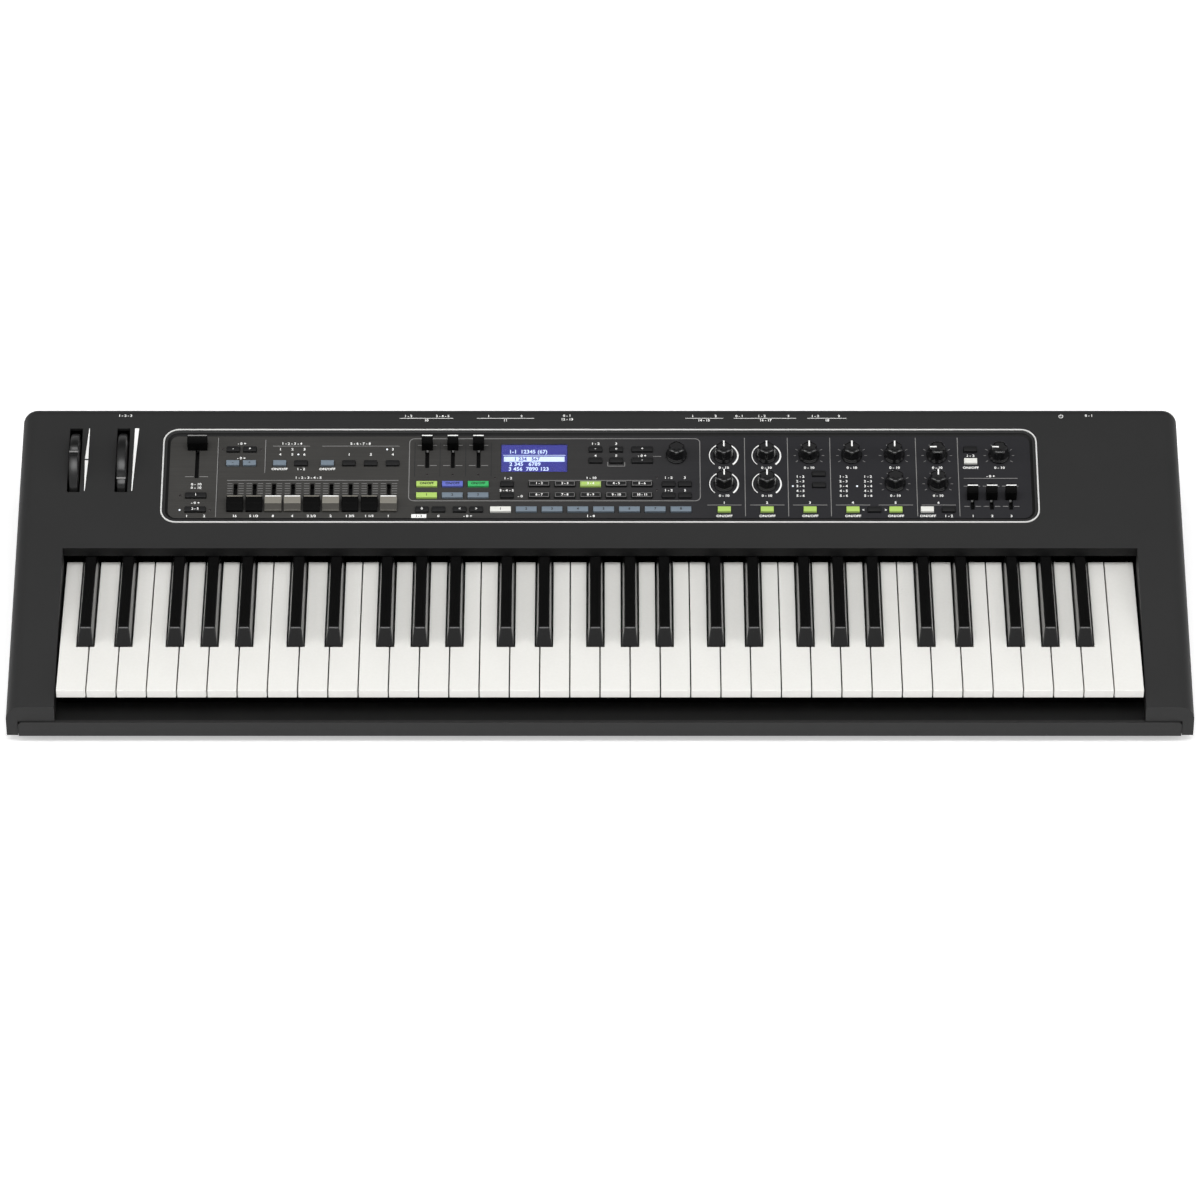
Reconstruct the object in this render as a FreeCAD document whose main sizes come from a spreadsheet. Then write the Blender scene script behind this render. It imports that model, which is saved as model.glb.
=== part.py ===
"""Sixty-one key stage synthesizer: keys, control panel, wheels, case, boards and sockets.

Frame: X to the player's right, Y away from the player, Z up. The origin is the middle of the
footprint, on the surface that the rubber feet stand on. All lengths are millimetres.
The top of the case is one plane that slopes down towards the player, and everything on the
control panel is laid out on it by two coordinates: X, and the "row", which is the distance
down the slope from the upper back edge of the case.
"""
import FreeCAD, Part
import Sketcher
import math
import os
import re

DRIVING_SIZES = {
    # the case
    "end_block": 38.0,            # beside the keys, out to the side of the case
    "rear_bay": 85.5,             # from the ends of the key levers to the back of the case
    "case_wall": 3.0,
    "end_wall": 6.0,             # outer walls of the end blocks
    "tilt": 12.6,                # slope of the top, degrees
    "fallboard_height": 8.4,     # wall above the black keys
    "nose_lean": 2.3,            # how far the front face leans back at its top edge
    "side_round": 12.0,
    "corner_round": 8.0,
    "skirt_bottom": 9.0,         # lower edge of the upper case
    "skirt_width": 9.3,         # rim of the upper case beside the lower case
    "skirt_flange": 3.0,
    "foot_height": 8.0,
    "foot_radius": 9.0,
    "foot_side_inset": 68.0,
    "foot_end_inset": 30.0,
    "floor_thickness": 2.5,
    "lip_height": 14.5,          # front lip of the lower case
    "lip_thickness": 2.8,
    "fit_gap": 0.3,              # between case mouldings, and round every control
    # the keys
    "octave_width": 165.0,
    "octaves": 5,
    "key_gap": 1.0,
    "key_top": 49.5,
    "key_inset": 8.1,            # key fronts behind the front of the case
    "key_length": 147.7,         # playing length of a white key
    "key_depth": 14.0,           # side walls of a key
    "key_skin": 2.4,
    "key_side_wall": 1.8,
    "head_length": 49.6,
    "front_lip": 7.7,
    "front_overhang": 8.0,
    "sharp_width": 12.8,
    "sharp_top_width": 8.6,
    "sharp_height": 11.5,
    "sharp_front_run": 9.4,
    "sharp_inset": 50.5,
    "outer_sharp_offset": 3.6,   # F sharp and A sharp, from the joint between their white keys
    "inner_sharp_offset": 3.1,   # C sharp and D sharp
    "well_gap": 1.7,             # between the end keys and the end blocks
    "pivot_back": 183.4,         # pivot rail behind the key fronts
    "pivot_drop": 12.0,
    "pivot_radius": 3.0,
    "saddle_gap": 0.2,
    "lever_height": 12.0,
    "lever_drop": 4.0,
    "lever_tail": 10.0,
    "lever_width": 9.0,
    "fallboard_gap": 0.6,        # black keys under the edge of the panel
    "felt_thickness": 3.0,
    "frame_plate": 2.5,
    # the recessed control panel
    "panel_margin": 114.5,        # from the side of the case
    "panel_back_margin": 18.6,    # behind the row of upper buttons
    "panel_front_margin": 13.1,   # in front of the lowest buttons
    "panel_round": 12.0,
    "panel_sink": 2.0,
    "panel_thickness": 1.6,
    "trim_width": 1.3,
    "trim_rise": 0.4,
    "bezel_width": 5.4,
    "board_depth": 12.0,
    "board_thickness": 1.6,
    # push buttons
    "button_long": 16.6,
    "button_short": 10.4,
    "button_length": 4.8,
    "button_rise": 2.0,
    "button_flange": 0.7,
    "button_travel": 1.0,
    "upper_row": 43.4,            # from the upper back edge, down the slope
    "menu_step": 11.0,
    "organ_step": 13.6,
    "category_step": 34.1,
    "select_step": 11.1,
    "live_step": 13.7,
    "live_pitch": 20.53,
    # rotary controls
    "knob_radius": 8.55,
    "knob_top_radius": 6.6,
    "knob_height": 12.3,
    "knob_skirt": 2.5,
    "shaft_radius": 3.0,
    "shaft_gap": 0.05,
    "pot_size": 11.0,
    "pot_height": 6.5,
    "slide_pot_width": 8.0,
    "slide_pot_height": 6.0,
    "knob_step": 5.7,
    "knob_pitch": 27.8,
    "switch_lift": 9.6,           # small switches behind the second row of knobs
    "reverb_step": 11.6,
    "effect_pitch": 34.15,
    # sliders
    "stem_width": 1.6,
    "stem_length": 2.4,
    "slot_width": 3.2,
    "cap_height": 11.5,
    "cap_length": 8.0,
    "master_cap_width": 16.0,
    "fader_cap_width": 8.9,
    "master_travel": 29.0,
    "fader_travel": 19.0,
    "tone_travel": 22.0,
    "drawbar_travel": 20.0,
    "drawbar_pitch": 15.3,
    "drawbar_width": 13.4,
    "drawbar_length": 12.6,
    "drawbar_height": 7.0,
    "slider_step": 3.1,
    "drawbar_step": 54.9,
    "tone_step": 45.7,
    # display
    "display_width": 53.3,
    "display_length": 27.4,
    "display_step": 7.8,
    # wheels
    "wheel_radius": 32.0,
    "wheel_width": 8.0,
    "wheel_drop": 18.5,
    "wheel_row": 54.9,
    "wheel_slot_length": 62.6,
    "wheel_slot_width": 10.3,
    "wheel_spacing": 38.0,
    "wheel_margin": 43.8,         # from the side of the case
    "wheel_clearance": 1.0,
    "bracket_plate": 2.0,
    "axle_radius": 2.5,
    "axle_gap": 0.05,
    # rear wall
    "jack_height": 33.0,
    "jack_radius": 3.25,
    "bushing_radius": 4.8,
    "jack_depth": 26.0,
    "jack_size": 12.0,
    "midi_radius": 7.6,
    "midi_size": 19.0,
    "speaker_width": 120.0,
    "speaker_height": 60.0,
    "speaker_margin": 189.0,      # from the side of the case
    "speaker_centre": 58.0,
    "grille_slot": 2.6,
    "grille_pitch": 5.2,
    "grille_slots": 11,
    # lower case
    "battery_width": 120.0,
    "battery_length": 54.0,
    "battery_depth": 14.6,
    "battery_radius": 7.1,
    "battery_cell": 50.0,
    "bay_wall": 3.5,
    "screw_radius": 1.5,
    "screw_head_radius": 3.5,
    "screw_head": 2.0,
    "screw_length": 12.0,
    "standoff_radius": 3.0,
    "main_board_depth": 38.0,
    "chip_size": 18.0,
}

# The layout was drawn for a panel and a case of these sizes; on others it spreads in proportion.
DRAWN_PANEL_HALF = 349.5
DRAWN_CASE_HALF = 464.0

# places across the panel, in millimetres from its middle
MASTER_X = -322.4
SHIFT_X = (-293.8, -280.5)
DRAWBAR_MIDDLE = -229.7
ORGAN_X = (-256.3, -239.2, -218.1, -200.9, -183.5, -166.0)
PART_MIDDLE = -117.8
PAGE_X = (-141.9, -128.6, -111.8, -98.5)
LIVE_MIDDLE = -7.4
DISPLAY_X = -52.65
MENU_X = (-3.6, 13.0, 33.8)
CATEGORY_MIDDLE = -7.5
SPLIT_X = -74.2
SOUND_X = (54.7, 67.8)
DIAL_X = 61.2
EFFECT_X = 99.0
EFFECT_SWITCH_X = (218.5, 260.65, 277.65)
DRIVE_SELECT_X = 174.8
REVERB_SWITCH_X = 296.6
REVERB_KNOB_X = 319.5
TONE_MIDDLE = 312.2
STUD_PLACES = ((-336, 31), (-336, 101), (-306, 60), (-306, 100), (-152.5, 33), (-152.5, 98), (0, 62.5),
               (84.5, 33), (84.5, 98), (184.2, 60), (252.9, 60), (286.5, 60), (336, 31), (336, 101))
# places along the rear wall
JACK_PLACES = {"phones": -384.0, "pedal_1": 72.0, "pedal_2": 93.5, "input_left": 130.0, "input_right": 151.5,
               "output_left": 173.0, "output_right": 194.5}
MIDI_PLACES = (-90.0, -62.0)
USB_SQUARE_PLACE = -158.0
USB_FLAT_PLACE = -120.0
SPEAKER_SWITCH_PLACE = -26.5
GAIN_PLACE = 111.5
POWER_PLACE = 370.0
DC_PLACE = 393.0
BATTERY_PLACE = 275.0
MAIN_BOARD_ENDS = (-165.0, 55.0)
JACK_BOARD_ENDS = ((-399.0, -369.0), (-172.0, 207.0), (354.0, 407.0))
CHIP_PLACES = (-120.0, -60.0, 0.0)
BOARD_PILLARS = (-159.0, -55.0, 49.0)
JACK_BOARD_PILLARS = (-393.0, -375.0, -166.0, -50.0, 60.0, 201.0, 360.0, 401.0)
REAR_SCREWS = (-348.0, -190.0, 215.0, 340.0)

doc = FreeCAD.newDocument("StageSynthesizer")
sheet = doc.addObject("Spreadsheet::Sheet", "Sizes")
for sheet_row, (alias, value) in enumerate(DRIVING_SIZES.items(), start=1):
    sheet.set(f"A{sheet_row}", alias)
    sheet.set(f"B{sheet_row}", str(value))
    sheet.setAlias(f"B{sheet_row}", alias)
doc.recompute()

# sizes that follow from the driving ones, as expressions
DERIVED = {
    "case_width": "(2 * (well_half + end_block))",
    "case_depth": "(key_inset + pivot_back + lever_tail + rear_bay)",
    "back_height": "(fallboard_bottom + fallboard_height + (rear - fallboard_y) * tan(tilt * 1deg))",
    "front": "(-case_depth / 2)",
    "rear": "(case_depth / 2)",
    "floor_top": "(foot_height + floor_thickness)",
    "white_pitch": "(octave_width / 7)",
    "keys_half": "((octaves * octave_width + white_pitch) / 2)",
    "well_half": "(keys_half + well_gap)",
    "key_front": "(front + key_inset)",
    "key_back": "(key_front + key_length)",
    "head_back": "(key_front + head_length)",
    "sharp_front": "(key_front + sharp_inset)",
    "key_bottom": "(key_top - key_depth)",
    "pivot_y": "(key_front + pivot_back)",
    "pivot_z": "(key_top - pivot_drop)",
    "lever_top": "(key_top - lever_drop)",
    "lever_bottom": "(lever_top - lever_height)",
    "lever_end": "(pivot_y + lever_tail)",
    "fallboard_y": "(key_back - 6.1)",
    "fallboard_bottom": "(key_top + sharp_height + fallboard_gap)",
    "menu_row": "(upper_row + menu_step)",
    "organ_row": "(upper_row + organ_step)",
    "category_row": "(upper_row + category_step)",
    "select_row": "(category_row + select_step)",
    "live_row": "(select_row + live_step)",
    "knob_row_one": "(upper_row + knob_step)",
    "knob_row_two": "(knob_row_one + knob_pitch)",
    "slider_row": "(upper_row - slider_step)",
    "drawbar_row": "(upper_row + drawbar_step)",
    "tone_row": "(upper_row + tone_step)",
    "display_row": "(upper_row + display_step)",
    "panel_half_width": "(case_width / 2 - panel_margin)",
    "panel_first_row": "(upper_row - panel_back_margin)",
    "panel_last_row": "(live_row + panel_front_margin)",
    "wide_button": "(button_long * panel_half_width / DRAWN_PANEL_HALF)",
    "narrow_button": "(button_short * panel_half_width / DRAWN_PANEL_HALF)",
    "drawbar_cap_width": "(drawbar_width * panel_half_width / DRAWN_PANEL_HALF)",
    "pitch_wheel_x": "(wheel_margin - case_width / 2)",
    "speaker_offset": "(case_width / 2 - speaker_margin)",
    "battery_x": "(BATTERY_PLACE * case_width / 2 / DRAWN_CASE_HALF)",
    "panel_top": "(-panel_sink)",
    "panel_under": "(panel_top - panel_thickness)",
    "board_top": "(-board_depth)",
    "pot_top": "(board_top + pot_height)",
    "slide_top": "(board_top + slide_pot_height)",
    "panel_middle_row": "((panel_first_row + panel_last_row) / 2)",
    "panel_half_length": "((panel_last_row - panel_first_row) / 2)",
    "bay_half": "(case_width / 2 - skirt_width)",
    "side_inner": "(case_width / 2 - end_wall)",
    "lip_top": "(foot_height + lip_height)",
    "socket_floor": "(jack_height - jack_size / 2)",
    "midi_height": "(socket_floor + midi_size / 2)",
    "screw_x": "(bay_half - 6)",
    "screw_y": "(rear - case_wall - 5)",
    "bay_y": "(rear - 47.5)",
    "bay_top": "(floor_top + battery_depth)",
    "frame_half": "(well_half - 1)",
    "frame_top": "(floor_top + 2.5 + frame_plate)",
    "rib_y": "(key_front + 115.4)",
    "stop_y": "(key_front + 25.4)",
    "stop_felt_top": "(key_bottom - 8.9)",
    "tail_felt_top": "(lever_bottom - fit_gap)",
    "dome_top": "(key_bottom - 4.2)",
    "contact_height": "(frame_top + 3.5)",
    "wheel_y": "(rear - wheel_row * cos(tilt * 1deg) + wheel_drop * sin(tilt * 1deg))",
    "wheel_z": "(back_height - wheel_row * sin(tilt * 1deg) - wheel_drop * cos(tilt * 1deg))",
}


PLAIN_NUMBERS = {"DRAWN_PANEL_HALF": DRAWN_PANEL_HALF, "DRAWN_CASE_HALF": DRAWN_CASE_HALF,
                 "BATTERY_PLACE": BATTERY_PLACE}
DERIVED.update({name: str(value) for name, value in PLAIN_NUMBERS.items()})


def across(x):
    """A place across the panel."""
    return f"(({x}) * panel_half_width / {DRAWN_PANEL_HALF})"


def along(x):
    """A place along the rear wall or the floor."""
    return f"(({x}) * case_width / 2 / {DRAWN_CASE_HALF})"


def sized(text):
    """Turns bare size names into references to the spreadsheet."""
    text = str(text)
    while True:
        longer = re.sub(r"[A-Za-z_]\w*", lambda m: DERIVED.get(m.group(0), m.group(0)), text)
        if longer == text:
            break
        text = longer
    return re.sub(r"(?<![\w.])[A-Za-z_]\w*",
                  lambda m: f"Sizes.{m.group(0)}" if m.group(0) in DRIVING_SIZES else m.group(0), text)


def number(text):
    """The present value of an expression, in millimetres or degrees."""
    result = sheet.evalExpression(sized(text))
    return float(getattr(result, "Value", result))


def bind(thing, **sizes):
    for name, text in sizes.items():
        thing.setExpression(name, sized(text))


def place(thing, x, y, z):
    """Puts a piece at a point of the upright frame."""
    for axis, text in zip("xyz", (x, y, z)):
        thing.setExpression(f"Placement.Base.{axis}", sized(text))
    return thing


def lay(thing, x, row, rise):
    """Puts a piece on the sloping top: row down the slope, rise above the surface of the case."""
    thing.Placement = FreeCAD.Placement(FreeCAD.Vector(), FreeCAD.Rotation(FreeCAD.Vector(1, 0, 0), 1))
    thing.setExpression("Placement.Rotation.Angle", sized("tilt"))
    down, up = "cos(tilt * 1deg)", "sin(tilt * 1deg)"
    return place(thing, x, f"rear - ({row}) * {down} - ({rise}) * {up}",
                 f"back_height - ({row}) * {up} + ({rise}) * {down}")


def box(name, x, y, z, length, width, height):
    """A box from its low corner."""
    solid = doc.addObject("Part::Box", name)
    bind(solid, Length=length, Width=width, Height=height)
    return place(solid, x, y, z)


def span(name, x0, x1, y0, y1, z0, z1):
    """A box between two corners."""
    return box(name, x0, y0, z0, f"({x1}) - ({x0})", f"({y1}) - ({y0})", f"({z1}) - ({z0})")


def panel_box(name, x, row, low, high, width, length):
    """A box on the slope, centred on x and row, between two heights."""
    solid = doc.addObject("Part::Box", name)
    bind(solid, Length=width, Width=length, Height=f"({high}) - ({low})")
    return lay(solid, f"({x}) - ({width}) / 2", f"({row}) + ({length}) / 2", low)


def cylinder(name, radius, height):
    solid = doc.addObject("Part::Cylinder", name)
    bind(solid, Radius=radius, Height=height)
    return solid


def rod_y(name, x, y0, z, radius, length):
    """A round rod that runs along Y from y0."""
    solid = cylinder(name, radius, length)
    solid.Placement.Rotation = FreeCAD.Rotation(FreeCAD.Vector(1, 0, 0), -90)
    return place(solid, x, y0, z)


def rod_x(name, x0, y, z, radius, length):
    """A round rod that runs along X from x0."""
    solid = cylinder(name, radius, length)
    solid.Placement.Rotation = FreeCAD.Rotation(FreeCAD.Vector(0, 1, 0), 90)
    return place(solid, x0, y, z)


def wedge(name, base, top, height):
    """A block that tapers upwards: base and top are (x0, x1, y0, y1) in its own frame."""
    solid = doc.addObject("Part::Wedge", name)
    bind(solid, Xmin=base[0], Xmax=base[1], Zmin=f"-({base[3]})", Zmax=f"-({base[2]})", Ymin="0", Ymax=height,
         X2min=top[0], X2max=top[1], Z2min=f"-({top[3]})", Z2max=f"-({top[2]})")
    return solid


def joined(name, pieces):
    whole = doc.addObject("Part::MultiFuse", name)
    whole.Shapes = pieces
    return whole


def group(name, pieces):
    """Separate solids that share one node."""
    whole = doc.addObject("Part::Compound", name)
    whole.Links = pieces
    return whole


def cut(name, base, tools):
    result = doc.addObject("Part::Cut", name)
    result.Base = base
    result.Tool = tools[0] if len(tools) == 1 else joined(f"{name}_tools", tools)
    return result


def edges_along(shape, direction, keep=lambda edge: True):
    """Numbers of the straight edges that run along a direction."""
    found = []
    for index, edge in enumerate(shape.Edges, start=1):
        if edge.Curve.TypeId != "Part::GeomLine":
            continue
        if abs(abs(edge.Curve.Direction.dot(direction)) - 1) < 1e-6 and keep(edge):
            found.append(index)
    return found


def rounded(name, base, numbers, radius):
    doc.recompute()
    result = doc.addObject("Part::Fillet", name)
    result.Base = base
    result.Edges = [(index, radius, radius) for index in numbers]
    return result


def rounded_plate(name, half_width, half_length, middle_row, low, high, radius):
    """A plate on the slope with four round corners."""
    plate = panel_box(f"{name}_blank", "0", middle_row, low, high, f"2 * ({half_width})",
                      f"2 * ({half_length})")
    doc.recompute()
    upright = plate.Placement.Rotation.multVec(FreeCAD.Vector(0, 0, 1))
    return rounded(name, plate, edges_along(plate.Shape, upright), number(radius))


def outline(body, name, role, points):
    """A closed sketch through points that are pairs of expressions."""
    sketch = body.newObject("Sketcher::SketchObject", name)
    plane = next(feature for feature in body.Origin.OriginFeatures if feature.Role == role)
    sketch.AttachmentSupport = [(plane, "")]
    sketch.MapMode = "FlatFace"
    corners = [FreeCAD.Vector(number(x), number(y), 0) for x, y in points]
    for index, corner in enumerate(corners):
        sketch.addGeometry(Part.LineSegment(corner, corners[(index + 1) % len(corners)]))
    for index in range(len(corners)):
        sketch.addConstraint(Sketcher.Constraint("Coincident", index, 2, (index + 1) % len(corners), 1))
    for index, texts in enumerate(points):
        for kind, text, axis, value in zip(("DistanceX", "DistanceY"), texts, (-2, -1), corners[index]):
            if text == "0":
                sketch.addConstraint(Sketcher.Constraint("PointOnObject", index, 1, axis))
                continue
            at = sketch.addConstraint(Sketcher.Constraint(kind, -1, 1, index, 1, value))
            sketch.setExpression(f"Constraints[{at}]", sized(text))
    return sketch


def extruded(name, points, half_width):
    """A side profile in Y and Z, padded both ways along X."""
    body = doc.addObject("PartDesign::Body", name)
    sketch = outline(body, f"{name}_profile", "YZ_Plane", points)
    pad = body.newObject("PartDesign::Pad", f"{name}_pad")
    pad.Profile = sketch
    pad.SideType = "Symmetric"
    bind(pad, Length=f"2 * ({half_width})")
    sketch.Visibility = False
    return body


def turned(name, points):
    """A half profile in radius and height, turned about the vertical."""
    body = doc.addObject("PartDesign::Body", name)
    sketch = outline(body, f"{name}_profile", "XZ_Plane", points)
    spin = body.newObject("PartDesign::Revolution", f"{name}_turn")
    spin.Profile = sketch
    spin.ReferenceAxis = (sketch, ["V_Axis"])
    spin.Angle = 360
    return body


NODES = {}


def node(name, thing):
    """Registers a finished sub-part under its own label."""
    thing.Label = name
    NODES[name] = thing
    return thing


# ---------------------------------------------------------------- controls: where each one is
def row_of(count, middle, pitch):
    """X places of evenly spaced controls."""
    return [across(f"{middle} + {index - (count - 1) / 2} * {pitch}") for index in range(count)]


EFFECT_COLUMNS = [across(f"{EFFECT_X} + {column} * effect_pitch") for column in range(6)]
KNOBS = {
    "filter_cutoff_knob": (EFFECT_COLUMNS[0], "knob_row_one"),
    "filter_resonance_knob": (EFFECT_COLUMNS[0], "knob_row_two"),
    "attack_knob": (EFFECT_COLUMNS[1], "knob_row_one"),
    "release_knob": (EFFECT_COLUMNS[1], "knob_row_two"),
    "drive_knob": (EFFECT_COLUMNS[2], "knob_row_one"),
    "effect_one_knob": (EFFECT_COLUMNS[3], "knob_row_one"),
    "effect_two_knob": (EFFECT_COLUMNS[4], "knob_row_one"),
    "effect_type_knob": (EFFECT_COLUMNS[4], "knob_row_two"),
    "delay_level_knob": (EFFECT_COLUMNS[5], "knob_row_one"),
    "delay_time_knob": (EFFECT_COLUMNS[5], "knob_row_two"),
    "reverb_knob": (across(REVERB_KNOB_X), "knob_row_one"),
    "data_dial": (across(DIAL_X), "knob_row_one"),
}

# each button is (x, row, width)
WIDE, NARROW = "wide_button", "narrow_button"
PAIR = ("category_row", "select_row")
PART_COLUMNS = row_of(3, PART_MIDDLE, "live_pitch")


def buttons(columns, rows, width):
    return [(x, row, width) for row in rows for x in columns]


BUTTONS = {
    "organ_buttons": buttons([across(x) for x in SHIFT_X], ("upper_row", "organ_row"), NARROW)
    + buttons([across(MASTER_X)], ("select_row", "live_row"), WIDE)
    + buttons([across(x) for x in ORGAN_X], ("organ_row",), NARROW),
    "part_buttons": buttons(PART_COLUMNS, PAIR, WIDE),
    "sound_buttons": buttons([across(x) for x in MENU_X[:2]], ("upper_row", "menu_row"), NARROW)
    + buttons([across(MENU_X[2])], ("upper_row", "menu_row"), WIDE)
    + buttons([across(x) for x in (SPLIT_X,) + SOUND_X], PAIR, NARROW)
    + buttons(row_of(5, CATEGORY_MIDDLE, "live_pitch"), PAIR, WIDE),
    "live_set_buttons": buttons([across(x) for x in PAGE_X], ("live_row",), NARROW)
    + buttons(row_of(8, LIVE_MIDDLE, "live_pitch"), ("live_row",), WIDE),
    "effect_buttons": buttons(EFFECT_COLUMNS[:5] + [across(x) for x in EFFECT_SWITCH_X], ("live_row",),
                              NARROW)
    + buttons([across(DRIVE_SELECT_X)], ("knob_row_two - switch_lift",
                                         "knob_row_two - switch_lift + menu_step"),
              NARROW)
    + buttons([across(REVERB_SWITCH_X)], ("upper_row", "upper_row + reverb_step"), NARROW),
}

# each kind of slider is
# (way up from rest, way down from rest, cap width, cap length, cap height, row, columns)
SLIDERS = {
    "master_volume_slider": ("0", "master_travel", "master_cap_width", "cap_length", "cap_height",
                             "slider_row",
                             [across(MASTER_X)]),
    "part_volume_sliders": ("0", "fader_travel", "fader_cap_width", "cap_length", "cap_height", "slider_row",
                            PART_COLUMNS),
    "drawbars": ("drawbar_travel", "0", "drawbar_cap_width", "drawbar_length", "drawbar_height",
                 "drawbar_row",
                 row_of(9, DRAWBAR_MIDDLE, "drawbar_pitch")),
    "tone_sliders": ("tone_travel / 2", "tone_travel / 2", "fader_cap_width", "cap_length", "cap_height",
                     "tone_row",
                     row_of(3, TONE_MIDDLE, "drawbar_pitch")),
}
JACK_X = {name: along(x) for name, x in JACK_PLACES.items()}
SIDE_SCREWS = ("front + 23.5", "front + 111.5", "rear - rear_bay")
SCREW_PLACES = ([(f"{side} * screw_x", y) for side in (-1, 1) for y in SIDE_SCREWS]
                + [(along(x), "screw_y") for x in REAR_SCREWS])

# ---------------------------------------------------------------- upper case


def upper_case():
    """The sloping top with its end blocks and rear wall, open below and at the keys."""
    front_line = "(back_height - case_depth * tan(tilt * 1deg))"
    shell = extruded("case_block", [
        ("front", "skirt_bottom"), ("rear", "skirt_bottom"), ("rear", "back_height"),
        ("front + nose_lean", f"{front_line} + nose_lean * tan(tilt * 1deg)"),
    ], "case_width / 2")
    doc.recompute()
    slope = FreeCAD.Vector(0, math.cos(math.radians(number("tilt"))), math.sin(math.radians(number("tilt"))))
    softened = rounded("case_rounding", shell, edges_along(shell.Shape, slope), number("side_round"))
    doc.recompute()
    upright = edges_along(softened.Shape, FreeCAD.Vector(0, 0, 1))
    whole = rounded("corner_rounding", softened, upright, number("corner_round"))

    def under_top(name, x0, x1, y0, y1, z0, depth):
        """A space with upright sides whose ceiling is parallel to the sloping top."""
        upright_block = span(f"{name}_block", x0, x1, y0, y1, z0, "back_height + 20")
        below = panel_box(f"{name}_slope", "0", "case_depth / 2", "-300", f"-({depth})", "case_width",
                          "2 * case_depth")
        space = doc.addObject("Part::Common", name)
        space.Base, space.Tool = upright_block, below
        return space

    hollows = [
        under_top("rear_space", "-side_inner", "side_inner", "fallboard_y + case_wall", "rear - case_wall",
                  "skirt_bottom + skirt_flange", "case_wall"),
        span("floor_opening", "-bay_half - fit_gap", "bay_half + fit_gap", "front + lip_thickness + fit_gap",
             "rear - case_wall", "0", "skirt_bottom + skirt_flange + 0.1"),
        span("lip_opening", "-bay_half - fit_gap", "bay_half + fit_gap", "front - 1",
             "front + lip_thickness + fit_gap + 0.1", "0", "lip_top + fit_gap"),
        span("key_well", "-well_half", "well_half", "front - 1", "fallboard_y", "0", "back_height"),
        span("fallboard_opening", "-well_half", "well_half", "fallboard_y - 0.1",
             "fallboard_y + case_wall + 0.1",
             "0", "fallboard_bottom"),
    ]
    for side, low, high in (("left", "-side_inner", "-well_half - case_wall"),
                            ("right", "well_half + case_wall", "side_inner")):
        hollows.append(under_top(f"{side}_arm_space", low, high, "front + nose_lean + case_wall + 1",
                                 "fallboard_y + case_wall + 0.1", "skirt_bottom + skirt_flange", "case_wall"))
    case = cut("hollow_case", whole, hollows)

    shelf = rounded_plate("panel_shelf", "panel_half_width + 4.5", "panel_half_length + 4.5",
                          "panel_middle_row",
                          "panel_under - 2", "-case_wall + 0.1", "panel_round + 4.5")
    additions = [case, shelf]
    for side in (-1, 1):
        for place_y in SIDE_SCREWS:
            x0, x1 = ("side_inner - 20", "side_inner + 0.1") if side > 0 else ("-side_inner - 0.1",
                                                                               "-side_inner + 20")
            additions.append(span("boss", x0, x1, f"{place_y} - 6", f"{place_y} + 6", "floor_top",
                                  "floor_top + screw_length + 2"))
    for x in (along(place_x) for place_x in REAR_SCREWS):
        additions.append(span("boss", f"{x} - 6", f"{x} + 6", "rear - case_wall - 11",
                              "rear - case_wall + 0.1",
                              "floor_top", "floor_top + screw_length + 2"))
    strengthened = joined("case_with_bosses", additions)

    openings = [
        rounded_plate("panel_pocket", "panel_half_width + trim_width / 2 + 0.1",
                      "panel_half_length + trim_width / 2 + 0.1", "panel_middle_row", "panel_under", "5",
                      "panel_round + trim_width / 2 + 0.1"),
        panel_box("panel_window", "0", "panel_middle_row", "-12", "1", "2 * (panel_half_width - bezel_width)",
                  "2 * (panel_half_length - bezel_width)"),
    ]
    for wheel in range(2):
        openings.append(panel_box("wheel_slot", f"pitch_wheel_x + {wheel} * wheel_spacing", "wheel_row",
                                  "-case_wall - 1", "3", "wheel_slot_width", "wheel_slot_length"))
    for x in JACK_X.values():
        openings.append(rod_y("jack_hole", x, "rear - case_wall - 1", "jack_height", "bushing_radius + 0.1",
                              "case_wall + 3"))
    for x in MIDI_PLACES:
        openings.append(rod_y("midi_hole", along(x), "rear - case_wall - 1", "midi_height",
                              "midi_radius + 1.1", "case_wall + 3"))
    for x, width, height in ((along(USB_SQUARE_PLACE), 12.6, 11.6), (along(USB_FLAT_PLACE), 14.8, 7.8)):
        openings.append(span("usb_hole", f"{x} - {width / 2}", f"{x} + {width / 2}", "rear - case_wall - 1",
                             "rear + 2", "socket_floor - 0.2", f"socket_floor + {height - 0.2}"))
    openings.append(rod_y("dc_hole", along(DC_PLACE), "rear - case_wall - 1", "jack_height", "4.6",
                          "case_wall + 3"))
    openings.append(rod_y("gain_hole", along(GAIN_PLACE), "rear - case_wall - 1", "jack_height", "4.8",
                          "case_wall + 3"))
    openings.append(rod_y("power_hole", along(POWER_PLACE), "rear - case_wall - 1", "jack_height", "5.3",
                          "case_wall + 3"))
    switch_x = along(SPEAKER_SWITCH_PLACE)
    openings.append(span("switch_slot", f"{switch_x} - 4.1", f"{switch_x} + 4.1",
                         "rear - case_wall - 1", "rear + 2", "jack_height - 2.3", "jack_height + 2.3"))
    for side in (-1, 1):
        for index in range(int(DRIVING_SIZES["grille_slots"])):
            height = f"speaker_centre + ({index} - (grille_slots - 1) / 2) * grille_pitch"
            openings.append(box("grille_slot", f"{side} * speaker_offset - speaker_width / 2 + 6",
                                "rear - case_wall - 1", f"{height} - grille_slot / 2", "speaker_width - 12",
                                "case_wall + 3", "grille_slot"))
    for x, y in SCREW_PLACES:
        hole = cylinder("screw_hole", "screw_radius + 0.1", "screw_length + 1")
        openings.append(place(hole, x, y, "floor_top"))
    return cut("upper_case", strengthened, openings)


node("top_case", upper_case())


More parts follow.
